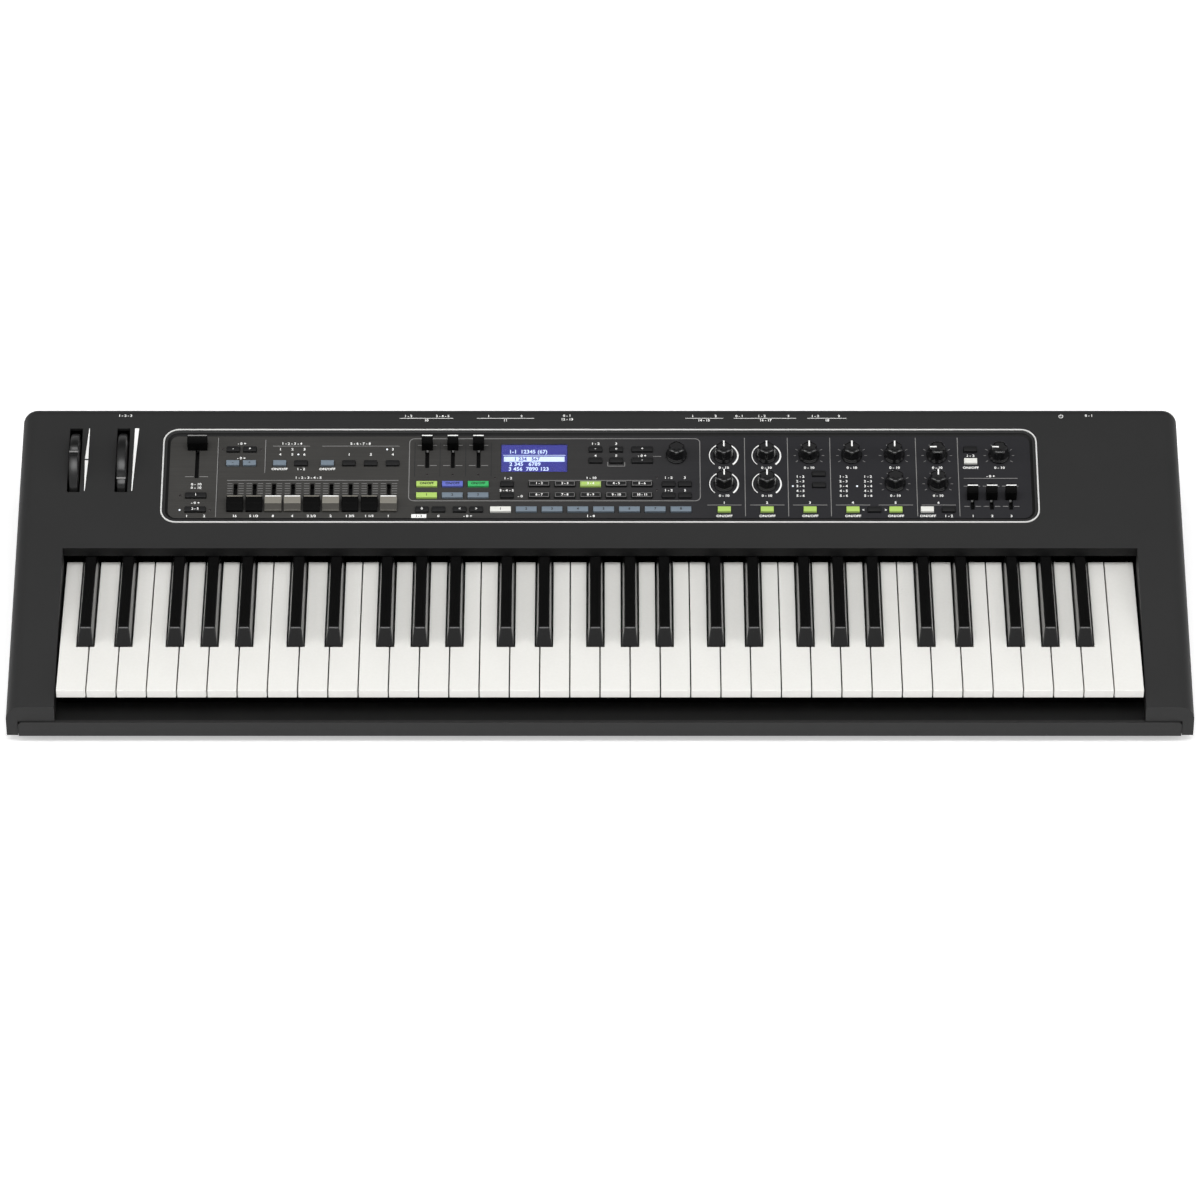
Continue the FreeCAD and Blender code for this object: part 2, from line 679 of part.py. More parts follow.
# ---------------------------------------------------------------- lower case
JACK_BOARD_Y = ("rear - case_wall - jack_depth - 2", "rear - case_wall - 0.5")
MAIN_BOARD_Y = ("rear - rear_bay + 7.5", "rear - rear_bay + 7.5 + main_board_depth")


def standoffs():
    """Pillars under the corners of the circuit boards."""
    places = [(along(x), f"{y} {inset}") for x in BOARD_PILLARS for y,
              inset in zip(MAIN_BOARD_Y, ("+ 6", "- 6"))]
    places += [(along(x), f"{JACK_BOARD_Y[0]} + 6") for x in JACK_BOARD_PILLARS]
    pillars = []
    for x, y in places:
        pillar = cylinder("standoff", "standoff_radius", "socket_floor - board_thickness - floor_top + 0.1")
        pillars.append(place(pillar, x, y, "floor_top - 0.1"))
    return pillars


def lower_case():
    """Floor with its front lip, board pillars and the battery bay."""
    floor = span("floor", "-bay_half", "bay_half", "front", "rear - case_wall - fit_gap", "foot_height",
                 "floor_top")
    lip = span("front_lip_bar", "-bay_half", "bay_half", "front", "front + lip_thickness", "foot_height",
               "lip_top")
    doc.recompute()
    ends = edges_along(lip.Shape, FreeCAD.Vector(0, 1, 0),
                       lambda edge: edge.BoundBox.ZMin > number("floor_top"))
    lip = rounded("front_lip_rail", lip, ends, 4)
    bay = span("bay_block", "battery_x - battery_width / 2 - bay_wall",
               "battery_x + battery_width / 2 + bay_wall",
               "bay_y - battery_length / 2 - bay_wall", "bay_y + battery_length / 2 + bay_wall",
               "floor_top - 0.1",
               "bay_top + 2")
    shell = joined("lower_case_solid", [floor, lip, bay] + standoffs())
    cuts = [
        span("bay_room", "battery_x - battery_width / 2", "battery_x + battery_width / 2",
             "bay_y - battery_length / 2", "bay_y + battery_length / 2", "0", "bay_top"),
        span("cover_room", "battery_x - battery_width / 2 - 1.8", "battery_x + battery_width / 2 + 1.8",
             "bay_y - battery_length / 2 - 1.8", "bay_y + battery_length / 2 + 1.8", "0", "floor_top"),
    ]
    for x, y in SCREW_PLACES:
        cuts.append(place(cylinder("floor_hole", "screw_radius + 0.1", "floor_top + 5"), x, y, "0"))
    return cut("lower_case", shell, cuts)


node("bottom_case", lower_case())
cover = span("cover_plate", "battery_x - battery_width / 2 - 1.5", "battery_x + battery_width / 2 + 1.5",
             "bay_y - battery_length / 2 - 1.5", "bay_y + battery_length / 2 + 1.5", "foot_height",
             "floor_top")
node("battery_cover", cut("cover_with_grip", cover, [
    span("grip", "battery_x - 12", "battery_x + 12", "bay_y - battery_length / 2 + 3",
         "bay_y - battery_length / 2 + 9", "foot_height - 1", "foot_height + 1.2")]))
node("batteries", group("battery_cells", [
    rod_y("cell", f"battery_x + {index - 3.5} * (2 * battery_radius + 0.5)", "bay_y - battery_cell / 2",
          "floor_top + battery_radius", "battery_radius", "battery_cell")
    for index in range(8)]))


def feet():
    for x in (-1, 1):
        for y in ("front + foot_end_inset", "rear - foot_end_inset"):
            yield place(cylinder("foot", "foot_radius", "foot_height"),
                        f"{x} * (bay_half - foot_side_inset)", y, "0")


node("rubber_feet", group("feet", list(feet())))


def screws():
    for x, y in SCREW_PLACES:
        head = place(cylinder("screw_head_disc", "screw_head_radius", "screw_head"), x, y,
                     "foot_height - screw_head")
        shank = cylinder("screw_shank", "screw_radius", "floor_thickness + screw_length + 0.1")
        yield joined("screw", [head, place(shank, x, y, "foot_height - 0.1")])


node("case_screws", group("screws", list(screws())))
ledge = span("slip_ledge", "-well_half + fit_gap", "well_half - fit_gap", "front + lip_thickness",
             "front + 23.5",
             "lip_top - 2.5", "lip_top - 0.5")
leg = span("slip_leg", "-well_half + fit_gap", "well_half - fit_gap", "front + 21.5", "front + 23.5",
           "floor_top",
           "lip_top - 1")
node("key_slip", joined("slip", [ledge, leg]))

# ---------------------------------------------------------------- key bed
SHARP_AFTER = {0: "-inner_sharp_offset", 1: "+inner_sharp_offset", 3: "-outer_sharp_offset", 4: "+0",
               5: "+outer_sharp_offset"}
NATURALS = "cdefgab"


def sharp_centre(index):
    """Middle of the black key after a white key, from the left edge of its octave."""
    return f"({index + 1} * white_pitch {SHARP_AFTER[index]})"


def tail(index, full=False):
    """Left and right edges of the narrow back part of a white key."""
    left, right = f"({index} * white_pitch + key_gap / 2)", f"({index + 1} * white_pitch - key_gap / 2)"
    if index - 1 in SHARP_AFTER and not full:
        left = f"({sharp_centre(index - 1)} + sharp_width / 2 + 0.8)"
    if index in SHARP_AFTER and not full:
        right = f"({sharp_centre(index)} - sharp_width / 2 - 0.8)"
    return left, right


def lever(name, middle):
    """The arm behind the playing part, with a round saddle that sits on the pivot rail."""
    bar = span(f"{name}_bar", f"{middle} - lever_width / 2", f"{middle} + lever_width / 2", "key_back - 4",
               "lever_end",
               "lever_bottom", "lever_top")
    saddle = rod_x(f"{name}_saddle", f"{middle} - lever_width", "pivot_y", "pivot_z",
                   "pivot_radius + saddle_gap",
                   "2 * lever_width")
    mouth = span(f"{name}_mouth", f"{middle} - lever_width", f"{middle} + lever_width",
                 "pivot_y - pivot_radius - saddle_gap", "pivot_y + pivot_radius + saddle_gap",
                 "lever_bottom - 1",
                 "pivot_z")
    return bar, [saddle, mouth]


def hollow(name, left, right, start, end):
    """Room under the skin of a key, in two parts with a cross rib over the contact."""
    walls = "key_side_wall"
    return [span(f"{name}_room", f"{left} + {walls}", f"{right} - {walls}", y0, y1, "key_bottom - 1",
                 "key_top - key_skin")
            for y0, y1 in ((f"{start} + {walls}", "rib_y - 3"), ("rib_y + 3", f"{end} - {walls} - 4"))]


def white_key(name, index, full=False):
    head_left = f"({index} * white_pitch + key_gap / 2)"
    head_right = f"({index + 1} * white_pitch - key_gap / 2)"
    left, right = tail(index, full)
    head = span(f"{name}_head", head_left, head_right, "key_front", "head_back", "key_bottom", "key_top")
    back = span(f"{name}_tail", left, right, "head_back - 1", "key_back", "key_bottom", "key_top")
    bar, lever_cuts = lever(name, f"({left} + {right}) / 2")
    under_lip = span(f"{name}_under_lip", f"{head_left} - 1", f"{head_right} + 1", "key_front - 1",
                     "key_front + front_overhang", "key_bottom - 1", "key_top - front_lip")
    head_room = span(f"{name}_head_room", f"{head_left} + key_side_wall", f"{head_right} - key_side_wall",
                     "key_front + front_overhang + key_side_wall", "head_back - key_side_wall",
                     "key_bottom - 1",
                     "key_top - key_skin")
    rooms = hollow(name, left, right, "head_back - 2 * key_side_wall - 1", "key_back")
    return cut(name, joined(f"{name}_solid", [head, back, bar]), [under_lip, head_room] + rooms + lever_cuts)


def black_key(name, index):
    middle = sharp_centre(index)
    left, right = f"({middle} - sharp_width / 2)", f"({middle} + sharp_width / 2)"
    base = span(f"{name}_base", left, right, "sharp_front", "key_back", "key_bottom", "key_top")
    crown = wedge(f"{name}_crown", ("-sharp_width / 2", "sharp_width / 2", "0", "key_back - sharp_front"),
                  ("-sharp_top_width / 2", "sharp_top_width / 2", "sharp_front_run",
                   "key_back - sharp_front"),
                  "sharp_height + 0.1")
    crown.Placement.Rotation = FreeCAD.Rotation(FreeCAD.Vector(1, 0, 0), 90)
    place(crown, middle, "sharp_front", "key_top - 0.1")
    bar, lever_cuts = lever(name, middle)
    rooms = hollow(name, left, right, "sharp_front", "key_back")
    return cut(name, joined(f"{name}_solid", [base, crown, bar]), rooms + lever_cuts)


def copies(name, master, places, laid=False):
    """Links to one master, each at its own place."""
    links = []
    for spot in places:
        link = doc.addObject("App::Link", f"{name}_copy")
        link.LinkedObject = master
        links.append(lay(link, *spot) if laid else place(link, *spot))
    return links


def octave_places(count):
    return [(f"-keys_half + {index} * octave_width", "0", "0") for index in range(count)]


for index, letter in enumerate(NATURALS):
    master = white_key(f"{letter}_key", index)
    links = copies(letter, master, octave_places(5))
    if letter == "c":
        links += copies("top_c", white_key("top_c_key", 0, full=True),
                        [("keys_half - white_pitch", "0", "0")])
    node(f"{letter}_keys", group(f"{letter}_set", links))
    if index in SHARP_AFTER:
        sharp = black_key(f"{letter}_sharp_key", index)
        node(f"{letter}_sharp_keys", group(f"{letter}_sharp_set",
                                           copies(f"{letter}_sharp", sharp, octave_places(5))))

plate = span("frame_sheet", "-frame_half", "frame_half", "stop_y - 8", "lever_end + 2", "floor_top + 2.5",
             "frame_top")
frame_pieces = [plate]
for y0, y1, z0, z1 in (
        ("stop_y - 8", "stop_y - 2", "floor_top", "floor_top + 3"),
        ("rib_y - 3", "rib_y + 3", "floor_top", "floor_top + 3"),
        ("lever_end - 4", "lever_end + 2", "floor_top", "floor_top + 3"),
        ("stop_y - 4", "stop_y + 4", "frame_top - 1", "stop_felt_top - felt_thickness"),
        ("lever_end - 6", "lever_end + 1", "frame_top - 1", "tail_felt_top - felt_thickness"),
        ("rib_y - 12", "rib_y - 10", "frame_top - 1", "contact_height"),
        ("rib_y + 10", "rib_y + 12", "frame_top - 1", "contact_height")):
    frame_pieces.append(span("frame_rib", "-frame_half", "frame_half", y0, y1, z0, z1))
frame_pieces.append(rod_x("pivot_rod", "-frame_half", "pivot_y", "pivot_z", "pivot_radius", "2 * frame_half"))
for index in range(6):
    middle = f"-keys_half + {index} * octave_width"
    start = f"{middle} - 0.6" if index == 0 else f"{middle} - 1.1"
    frame_pieces.append(span("rod_bracket", start, f"{middle} + 1.1", "pivot_y - 6", "lever_end + 2",
                             "frame_top - 1",
                             "pivot_z + 5"))
frame_pieces.append(span("rod_bracket", "keys_half - 1.5", "frame_half", "pivot_y - 6", "lever_end + 2",
                         "frame_top - 1", "pivot_z + 5"))
node("key_frame", joined("frame", frame_pieces))


def felt_strips():
    """Down-stop and rest strips; the rest strip is laid in lengths between the rod brackets."""
    yield span("stop_felt", "-frame_half", "frame_half", "stop_y - 4", "stop_y + 4",
               "stop_felt_top - felt_thickness",
               "stop_felt_top")
    for index in range(6):
        left = f"-keys_half + {index} * octave_width + 1.3"
        right = f"-keys_half + {index + 1} * octave_width - 1.3" if index < 5 else "keys_half - 1.7"
        yield span("rest_felt", left, right, "lever_end - 6", "lever_end - 0.5",
                   "tail_felt_top - felt_thickness",
                   "tail_felt_top")


node("key_felts", group("felts", list(felt_strips())))


def contact_places():
    for octave in range(5):
        for index in range(7):
            left, right = tail(index)
            yield f"-keys_half + {octave} * octave_width + ({left} + {right}) / 2"
            if index in SHARP_AFTER:
                yield f"-keys_half + {octave} * octave_width + {sharp_centre(index)}"
    yield "keys_half - white_pitch / 2"


contact_sheet = span("contact_sheet", "-frame_half + 3", "frame_half - 3", "rib_y - 13", "rib_y + 13",
                     "contact_height",
                     "contact_height + board_thickness")
dome = doc.addObject("Part::Cone", "contact_dome")
bind(dome, Radius1="4", Radius2="2.6", Height="dome_top - contact_height - board_thickness")
domes = copies("dome", dome, [(x, "rib_y", "contact_height + board_thickness") for x in contact_places()])
node("contact_board", group("contacts", [contact_sheet] + domes))

# ---------------------------------------------------------------- control panel
def ring(name, outer_grow, inner_grow, low, high):
    """A frame that follows the edge of the control panel."""
    outside = rounded_plate(f"{name}_outside", f"panel_half_width + {outer_grow}",
                            f"panel_half_length + {outer_grow}",
                            "panel_middle_row", low, high, f"panel_round + {outer_grow}")
    inside = rounded_plate(f"{name}_inside", f"panel_half_width + {inner_grow}",
                           f"panel_half_length + {inner_grow}",
                           "panel_middle_row", f"{low} - 1", f"{high} + 1", f"panel_round + {inner_grow}")
    return cut(name, outside, [inside])


line = ring("trim_line", "trim_width / 2", "(-trim_width / 2)", "panel_top", "trim_rise")
band = ring("trim_band", "(0.1 - trim_width / 2)", "(1.6 - bezel_width)", "panel_top", "-0.6")
node("panel_trim", joined("trim", [line, band]))

blank = rounded_plate("panel_plate", "panel_half_width + trim_width / 2",
                      "panel_half_length + trim_width / 2",
                      "panel_middle_row", "panel_under", "panel_top", "panel_round + trim_width / 2")
studs = [lay(cylinder("panel_stud", "2.5", "board_depth + panel_under + 0.1"), across(x),
             f"panel_first_row + ({row - 20.7}) * panel_half_length / 45.3", "board_top")
         for x, row in STUD_PLACES]
panel_cuts = [panel_box("display_hole", across(DISPLAY_X), "display_row", "-10", "3", "display_width + 0.2",
                        "display_length + 0.2")]
ALL_BUTTONS = [spot for spots in BUTTONS.values() for spot in spots]
for x, row, width in ALL_BUTTONS:
    panel_cuts.append(panel_box("button_hole", x, row, "-10", "3", f"{width} + 2 * fit_gap",
                                "button_length + 2 * fit_gap"))
for x, row in KNOBS.values():
    panel_cuts.append(lay(cylinder("shaft_hole", "shaft_radius + 0.6", "13"), x, row, "-10"))
for up, down, *_, row, columns in SLIDERS.values():
    for x in columns:
        panel_cuts.append(panel_box("slider_hole", x, f"{row} + ({down} - {up}) / 2", "-10", "3",
                                    "slot_width",
                                    f"{up} + {down} + stem_length + 1.2"))
for tool in panel_cuts:
    tool.Label = "panel_opening"
pierced = cut("pierced_plate", blank, panel_cuts)
node("control_panel", joined("panel_with_studs", [pierced] + studs))

node("display_window", panel_box("pane", across(DISPLAY_X), "display_row", "panel_under", "panel_top",
                                 "display_width",
                                 "display_length"))
node("display_module", panel_box("screen", across(DISPLAY_X), "display_row", "board_top", "panel_under",
                                 "display_width + 6",
                                 "display_length + 5"))

sheet_board = panel_box("board_sheet", "0", "panel_middle_row", "board_top - board_thickness", "board_top",
                        "2 * (panel_half_width - bezel_width) - 4",
                        "2 * (panel_half_length - bezel_width) - 2")
tact = doc.addObject("Part::Box", "tact_switch")
bind(tact, Length="6", Width="3.6", Height="5")
tacts = copies("tact", tact, [(f"{x} - 3", f"{row} + 1.8", "board_top") for x, row, _ in ALL_BUTTONS],
               laid=True)
node("panel_board", group("board_and_switches", [sheet_board] + tacts))

# ---------------------------------------------------------------- push buttons
def button(name, width):
    """A cap with a flange below the panel and a plunger over its switch, centred on the axis."""
    def piece(part, grow, low, high):
        solid = doc.addObject("Part::Box", f"{name}_{part}")
        bind(solid, Length=f"{width} + 2 * {grow}", Width=f"button_length + 2 * {grow}",
             Height=f"{high} - ({low})")
        return place(solid, f"-({width} + 2 * {grow}) / 2", f"-(button_length + 2 * {grow}) / 2", low)

    cap = piece("cap", "0", "panel_under - fit_gap - 0.5", "panel_top + button_rise")
    doc.recompute()
    top = number("panel_top + button_rise")
    soft = [i for i, edge in enumerate(cap.Shape.Edges, 1) if edge.BoundBox.ZMin > top - 0.01]
    cap = rounded(f"{name}_soft_cap", cap, soft, 0.5)
    flange = piece("flange", "button_flange", "panel_under - fit_gap - 1.2", "panel_under - fit_gap")
    plunger = piece("plunger", "(-1.2)", "board_top + 5 + fit_gap + button_travel",
                    "panel_under - fit_gap - 0.6")
    return joined(name, [cap, flange, plunger])


caps = {width: button(width, width) for width in (WIDE, NARROW)}
for name, spots in BUTTONS.items():
    links = []
    for width, cap in caps.items():
        links += copies(name, cap, [(x, row, "0") for x, row, kind in spots if kind == width], laid=True)
    node(name, group(f"{name}_set", links))

# ---------------------------------------------------------------- knobs
skirt = turned("knob_core", [("0", "pot_top - 4"), ("shaft_radius", "pot_top - 4"),
                             ("shaft_radius", "panel_top + 0.4"),
                             ("knob_radius", "panel_top + 0.4"), ("knob_radius",
                                                                  "panel_top + knob_skirt - 0.8"),
                             ("knob_radius - 0.8", "panel_top + knob_skirt"), ("0",
                                                                               "panel_top + knob_skirt")])
grip = doc.addObject("Part::Prism", "knob_grip")
grip.Polygon = 12
bind(grip, Circumradius="knob_top_radius", Height="knob_height - knob_skirt + 0.1")
place(grip, "0", "0", "panel_top + knob_skirt - 0.1")
doc.recompute()
rim = [i for i, edge in enumerate(grip.Shape.Edges,
                                  1) if edge.BoundBox.ZMin > number("panel_top + knob_height") - 0.01]
knob = joined("knob", [skirt, rounded("knob_grip_soft", grip, rim, 0.6)])
for name, (x, row) in KNOBS.items():
    node(name, group(f"{name}_one", copies(name, knob, [(x, row, "0")], laid=True)))


def pot_body(name):
    """A square housing, centred on the axis, with a blind bore for the shaft."""
    shell = box(f"{name}_housing", "-pot_size / 2", "-pot_size / 2", "board_top", "pot_size", "pot_size",
                "pot_height")
    bore = place(cylinder(f"{name}_bore", "shaft_radius + shaft_gap", "6"), "0", "0", "pot_top - 4.5")
    return cut(name, shell, [bore])


# ---------------------------------------------------------------- sliders
def slider(name, width, length, height):
    """A cap with a flat stem that goes down through the panel, centred on the stem."""
    cap = wedge(f"{name}_cap", (f"-{width} / 2", f"{width} / 2", f"-{length} / 2", f"{length} / 2"),
                (f"0.6 - {width} / 2", f"{width} / 2 - 0.6", f"1 - {length} / 2",
                 f"{length} / 2 - 1"), height)
    cap.Placement.Rotation = FreeCAD.Rotation(FreeCAD.Vector(1, 0, 0), 90)
    place(cap, "0", "0", "panel_top + 0.5")
    stem = box(f"{name}_stem", "-stem_width / 2", "-stem_length / 2", "slide_top - 2.5", "stem_width",
               "stem_length",
               "panel_top + 1 - slide_top + 2.5")
    return joined(name, [cap, stem])


def slide_pot(name, up, down):
    """A long housing with a slot along its travel; the origin is where the stem rests."""
    length = f"({up} + {down} + stem_length + 10)"
    shell = box(f"{name}_housing", "-slide_pot_width / 2", f"-({down}) - stem_length / 2 - 5", "board_top",
                "slide_pot_width", length, "slide_pot_height")
    slot = box(f"{name}_slot", "-stem_width / 2 - 0.5", f"-({down}) - stem_length / 2 - 0.6",
               "slide_top - 3.2",
               "stem_width + 1", f"{up} + {down} + stem_length + 1.2", "6")
    return cut(name, shell, [slot])


housings = copies("pot", pot_body("pot"), [(x, row, "0") for x, row in KNOBS.values()], laid=True)
for name, (up, down, width, length, height, row, columns) in SLIDERS.items():
    places = [(x, row, "0") for x in columns]
    node(name, group(f"{name}_set", copies(name, slider(f"{name}_one", width, length, height), places,
                                           laid=True)))
    housings += copies(f"{name}_pot", slide_pot(f"{name}_pot", up, down), places, laid=True)

# ---------------------------------------------------------------- wheels
def wheel(name, x, lean):
    """A disc with a finger notch in its rim; lean turns the notch from upright towards the player."""
    disc = rod_x(f"{name}_disc", f"{x} - wheel_width / 2", "wheel_y", "wheel_z", "wheel_radius",
                 "wheel_width")
    bore = rod_x(f"{name}_bore", f"{x} - wheel_width", "wheel_y", "wheel_z", "axle_radius + axle_gap",
                 "2 * wheel_width")
    notch = rod_x(f"{name}_notch", f"{x} - wheel_width",
                  f"wheel_y - (wheel_radius + 2.2) * sin(({lean}) * 1deg)",
                  f"wheel_z + (wheel_radius + 2.2) * cos(({lean}) * 1deg)", "4", "2 * wheel_width")
    return cut(name, disc, [bore, notch])


WHEELS = {"pitch_wheel": ("pitch_wheel_x", "tilt"),
          "modulation_wheel": ("(pitch_wheel_x + wheel_spacing)", "tilt + 42")}
carrier = [span("carrier_base", "pitch_wheel_x - wheel_width", "pitch_wheel_x + wheel_spacing + wheel_width",
                "wheel_y - 11", "wheel_y + 11", "floor_top", "floor_top + bracket_plate")]
for name, (x, lean) in WHEELS.items():
    node(name, wheel(f"{name}_solid", x, lean))
    for side in (-1, 1):
        inner = "(wheel_width / 2 + wheel_clearance)"
        start = f"{x} + {inner}" if side > 0 else f"{x} - {inner} - bracket_plate"
        carrier.append(box("carrier_plate", start, "wheel_y - 8", "floor_top + bracket_plate - 0.1",
                           "bracket_plate", "16", "wheel_z + 6 - floor_top - bracket_plate + 0.1"))
    carrier.append(rod_x("axle", f"{x} - {inner} - bracket_plate", "wheel_y", "wheel_z", "axle_radius",
                         f"2 * ({inner} + bracket_plate)"))
node("wheel_bracket", joined("carrier", carrier))

# ---------------------------------------------------------------- rear boards and sockets
board_low = "socket_floor - board_thickness"
rear_boards = [span("main_board", *[along(x) for x in MAIN_BOARD_ENDS], *MAIN_BOARD_Y, board_low,
                    "socket_floor")]
rear_boards += [span("jack_board", along(low), along(high), *JACK_BOARD_Y, board_low, "socket_floor")
                for low, high in JACK_BOARD_ENDS]
rear_boards += [box("chip", along(x), f"{MAIN_BOARD_Y[0]} + 8", "socket_floor", "chip_size", "chip_size",
                    "board_thickness") for x in CHIP_PLACES]


def jack(x):
    shell = span("jack_housing", f"{x} - jack_size / 2", f"{x} + jack_size / 2",
                 "rear - case_wall - jack_depth",
                 "rear - case_wall", "socket_floor", "socket_floor + jack_size")
    bushing = rod_y("jack_bushing", x, "rear - case_wall - 0.1", "jack_height", "bushing_radius",
                    "case_wall + 0.1")
    bore = rod_y("jack_bore", x, "rear - case_wall - jack_depth + 2", "jack_height", "jack_radius",
                 "jack_depth + case_wall")
    return cut("jack", joined("jack_solid", [shell, bushing]), [bore])


node("phone_jacks", group("jacks", [jack(x) for x in JACK_X.values()]))


def midi_socket(x):
    """A round five-pin socket: a ring of contact holes in a round plug room."""
    body = span("midi_housing", f"{x} - midi_size / 2", f"{x} + midi_size / 2", "rear - case_wall - 16",
                "rear - case_wall", "socket_floor", "socket_floor + midi_size")
    mouth = rod_y("midi_mouth", x, "rear - case_wall - 0.1", "midi_height", "midi_radius + 0.9",
                  "case_wall + 0.1")
    room = rod_y("midi_room", x, "rear - case_wall - 8", "midi_height", "midi_radius", "case_wall + 9")
    return cut("midi_socket", joined("midi_solid", [body, mouth]), [room])


def usb_socket(x, width, height, wall, tongue, tongue_end):
    """A metal shell with a contact tongue inside, reaching through the rear wall."""
    shell = span("usb_shell", f"{x} - {width} / 2", f"{x} + {width} / 2", "rear - case_wall - 14", "rear",
                 "socket_floor", f"socket_floor + {height}")
    room = span("usb_room", f"{x} - {width} / 2 + {wall}", f"{x} + {width} / 2 - {wall}",
                "rear - case_wall - 10",
                "rear + 1", f"socket_floor + {wall}", f"socket_floor + {height} - {wall}")
    low, high, across = tongue
    blade = span("usb_tongue", f"{x} - {across} / 2", f"{x} + {across} / 2", "rear - case_wall - 10.1",
                 tongue_end,
                 f"socket_floor + {low}", f"socket_floor + {high}")
    return joined("usb_socket", [cut("usb_hollow", shell, [room]), blade])


node("data_sockets", group("sockets", [midi_socket(along(x)) for x in MIDI_PLACES] + [
    usb_socket(along(USB_SQUARE_PLACE), 12.2, 11.2, 0.7, (4.2, 7.0, 5.6), "rear - case_wall - 5"),
    usb_socket(along(USB_FLAT_PLACE), 14.4, 7.4, 0.6, (0.55, 2.2, 11.5), "rear - 1.5")]))

DC_X, POWER_X, GAIN_X = along(DC_PLACE), along(POWER_PLACE), along(GAIN_PLACE)
SWITCH_X = along(SPEAKER_SWITCH_PLACE)
inlet = span("inlet_housing", f"{DC_X} - 5.5", f"{DC_X} + 5.5", "rear - case_wall - 14", "rear - case_wall",
             "socket_floor", "socket_floor + 11.5")
inlet_mouth = rod_y("inlet_mouth", DC_X, "rear - case_wall - 0.1", "jack_height", "4.4", "case_wall + 0.1")
inlet_room = rod_y("inlet_room", DC_X, "rear - case_wall - 10", "jack_height", "3.1", "case_wall + 11")
inlet_pin = rod_y("inlet_pin", DC_X, "rear - case_wall - 10.1", "jack_height", "1.05", "6.1")
hollow_inlet = cut("inlet", joined("inlet_solid", [inlet, inlet_mouth]), [inlet_room])
node("power_socket", joined("inlet_with_pin", [hollow_inlet, inlet_pin]))

# power button: a round push button that slides in its housing; it sits flush with the rear wall
power_well = rod_y("power_well", POWER_X, "rear - case_wall - 13", "jack_height", "3.3", "20")
power_shell = span("power_shell", f"{POWER_X} - 6.5", f"{POWER_X} + 6.5", "rear - case_wall - 20",
                   "rear - case_wall - 3", "socket_floor", "socket_floor + 13")
rear_boards.append(cut("power_housing", power_shell, [power_well]))
power_cap = rod_y("power_cap", POWER_X, "rear - case_wall + 0.1", "jack_height", "4.8", "case_wall - 0.1")
power_stem = rod_y("power_stem", POWER_X, "rear - case_wall - 9.5", "jack_height", "3", "9.7")
node("power_button", joined("power_piece", [power_cap, power_stem]))

# small slide switch
switch_slot = span("switch_way", f"{SWITCH_X} - 3.6", f"{SWITCH_X} + 3.6", "rear - case_wall - 3.5",
                   "rear", "jack_height - 1.6", "jack_height + 1.6")
switch_body = span("switch_housing", f"{SWITCH_X} - 6", f"{SWITCH_X} + 6", "rear - case_wall - 8",
                   "rear - case_wall", "socket_floor", "socket_floor + 10")
rear_boards.append(cut("switch_shell", switch_body, [switch_slot]))
node("speaker_switch", span("switch_lever", f"{SWITCH_X} - 3.3", f"{SWITCH_X} - 0.3",
                            "rear - case_wall - 3.2", "rear - 0.4", "jack_height - 1.3", "jack_height + 1.3"))

# input gain: a small knob that sits inside its hole in the rear wall
gain_shell = span("gain_housing", f"{GAIN_X} - 5.5", f"{GAIN_X} + 5.5", "rear - case_wall - 8",
                  "rear - case_wall - 2", "socket_floor", "socket_floor + 11.5")
gain_bore = rod_y("gain_bore", GAIN_X, "rear - case_wall - 7", "jack_height", "2 + shaft_gap", "8")
housings.append(cut("gain_pot", gain_shell, [gain_bore]))
gain_cap = rod_y("gain_cap", GAIN_X, "rear - case_wall - 1", "jack_height", "4.2", "case_wall + 1")
gain_shaft = rod_y("gain_shaft", GAIN_X, "rear - case_wall - 6.5", "jack_height", "2", "5.6")
gain_mark = box("gain_mark", f"{GAIN_X} - 0.4", "rear - 0.8", "jack_height", "0.8", "2", "5")
node("gain_knob", cut("gain_piece", joined("gain_solid", [gain_cap, gain_shaft]), [gain_mark]))
node("potentiometers", group("pots", housings))
node("circuit_boards", group("boards", rear_boards))


def speaker(side):
    x = f"({side} * speaker_offset)"
    rim = span("speaker_rim", f"{x} - speaker_width / 2", f"{x} + speaker_width / 2", "rear - case_wall - 3",
               "rear - case_wall", "speaker_centre - speaker_height / 2",
               "speaker_centre + speaker_height / 2")
    hole = rod_y("speaker_hole", x, "rear - case_wall - 2.5", "speaker_centre", "speaker_height / 2 - 4", "5")
    basket = rod_y("speaker_basket", x, "rear - case_wall - 14", "speaker_centre", "speaker_height / 2 - 3",
                   "11.1")
    magnet = rod_y("speaker_magnet", x, "rear - case_wall - 22", "speaker_centre", "speaker_height / 2 - 9",
                   "8.1")
    return cut("speaker", joined("speaker_solid", [rim, basket, magnet]), [hole])


node("speakers", group("speaker_pair", [speaker(side) for side in (-1, 1)]))

doc.recompute()
for thing in doc.Objects:
    if set(thing.State) & {"Invalid", "Error"}:
        raise SystemExit(f"{thing.Name} {thing.Label} failed: {thing.State}")
os.makedirs("parts", exist_ok=True)
for name, thing in NODES.items():
    shape = thing.Shape
    if shape.isNull() or not shape.isValid() or not shape.Solids:
        raise SystemExit(f"{name} has no valid solid")
    shape.exportStep(f"parts/{name}.step")
    print(f"{name}: {len(shape.Solids)} solids, {shape.Volume / 1000:.1f} cm3")
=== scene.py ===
# %% [markdown]
# A stage synthesizer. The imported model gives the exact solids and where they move; this script gives
# them their looks. Everything is in metres, with X along the keys to the player's right, Y away from
# the player and Z up. We load the frame first, because every piece made later rides on one of its bodies.

# %% Load the frame
import bpy
import bmesh
import math
from mathutils import Matrix, Vector


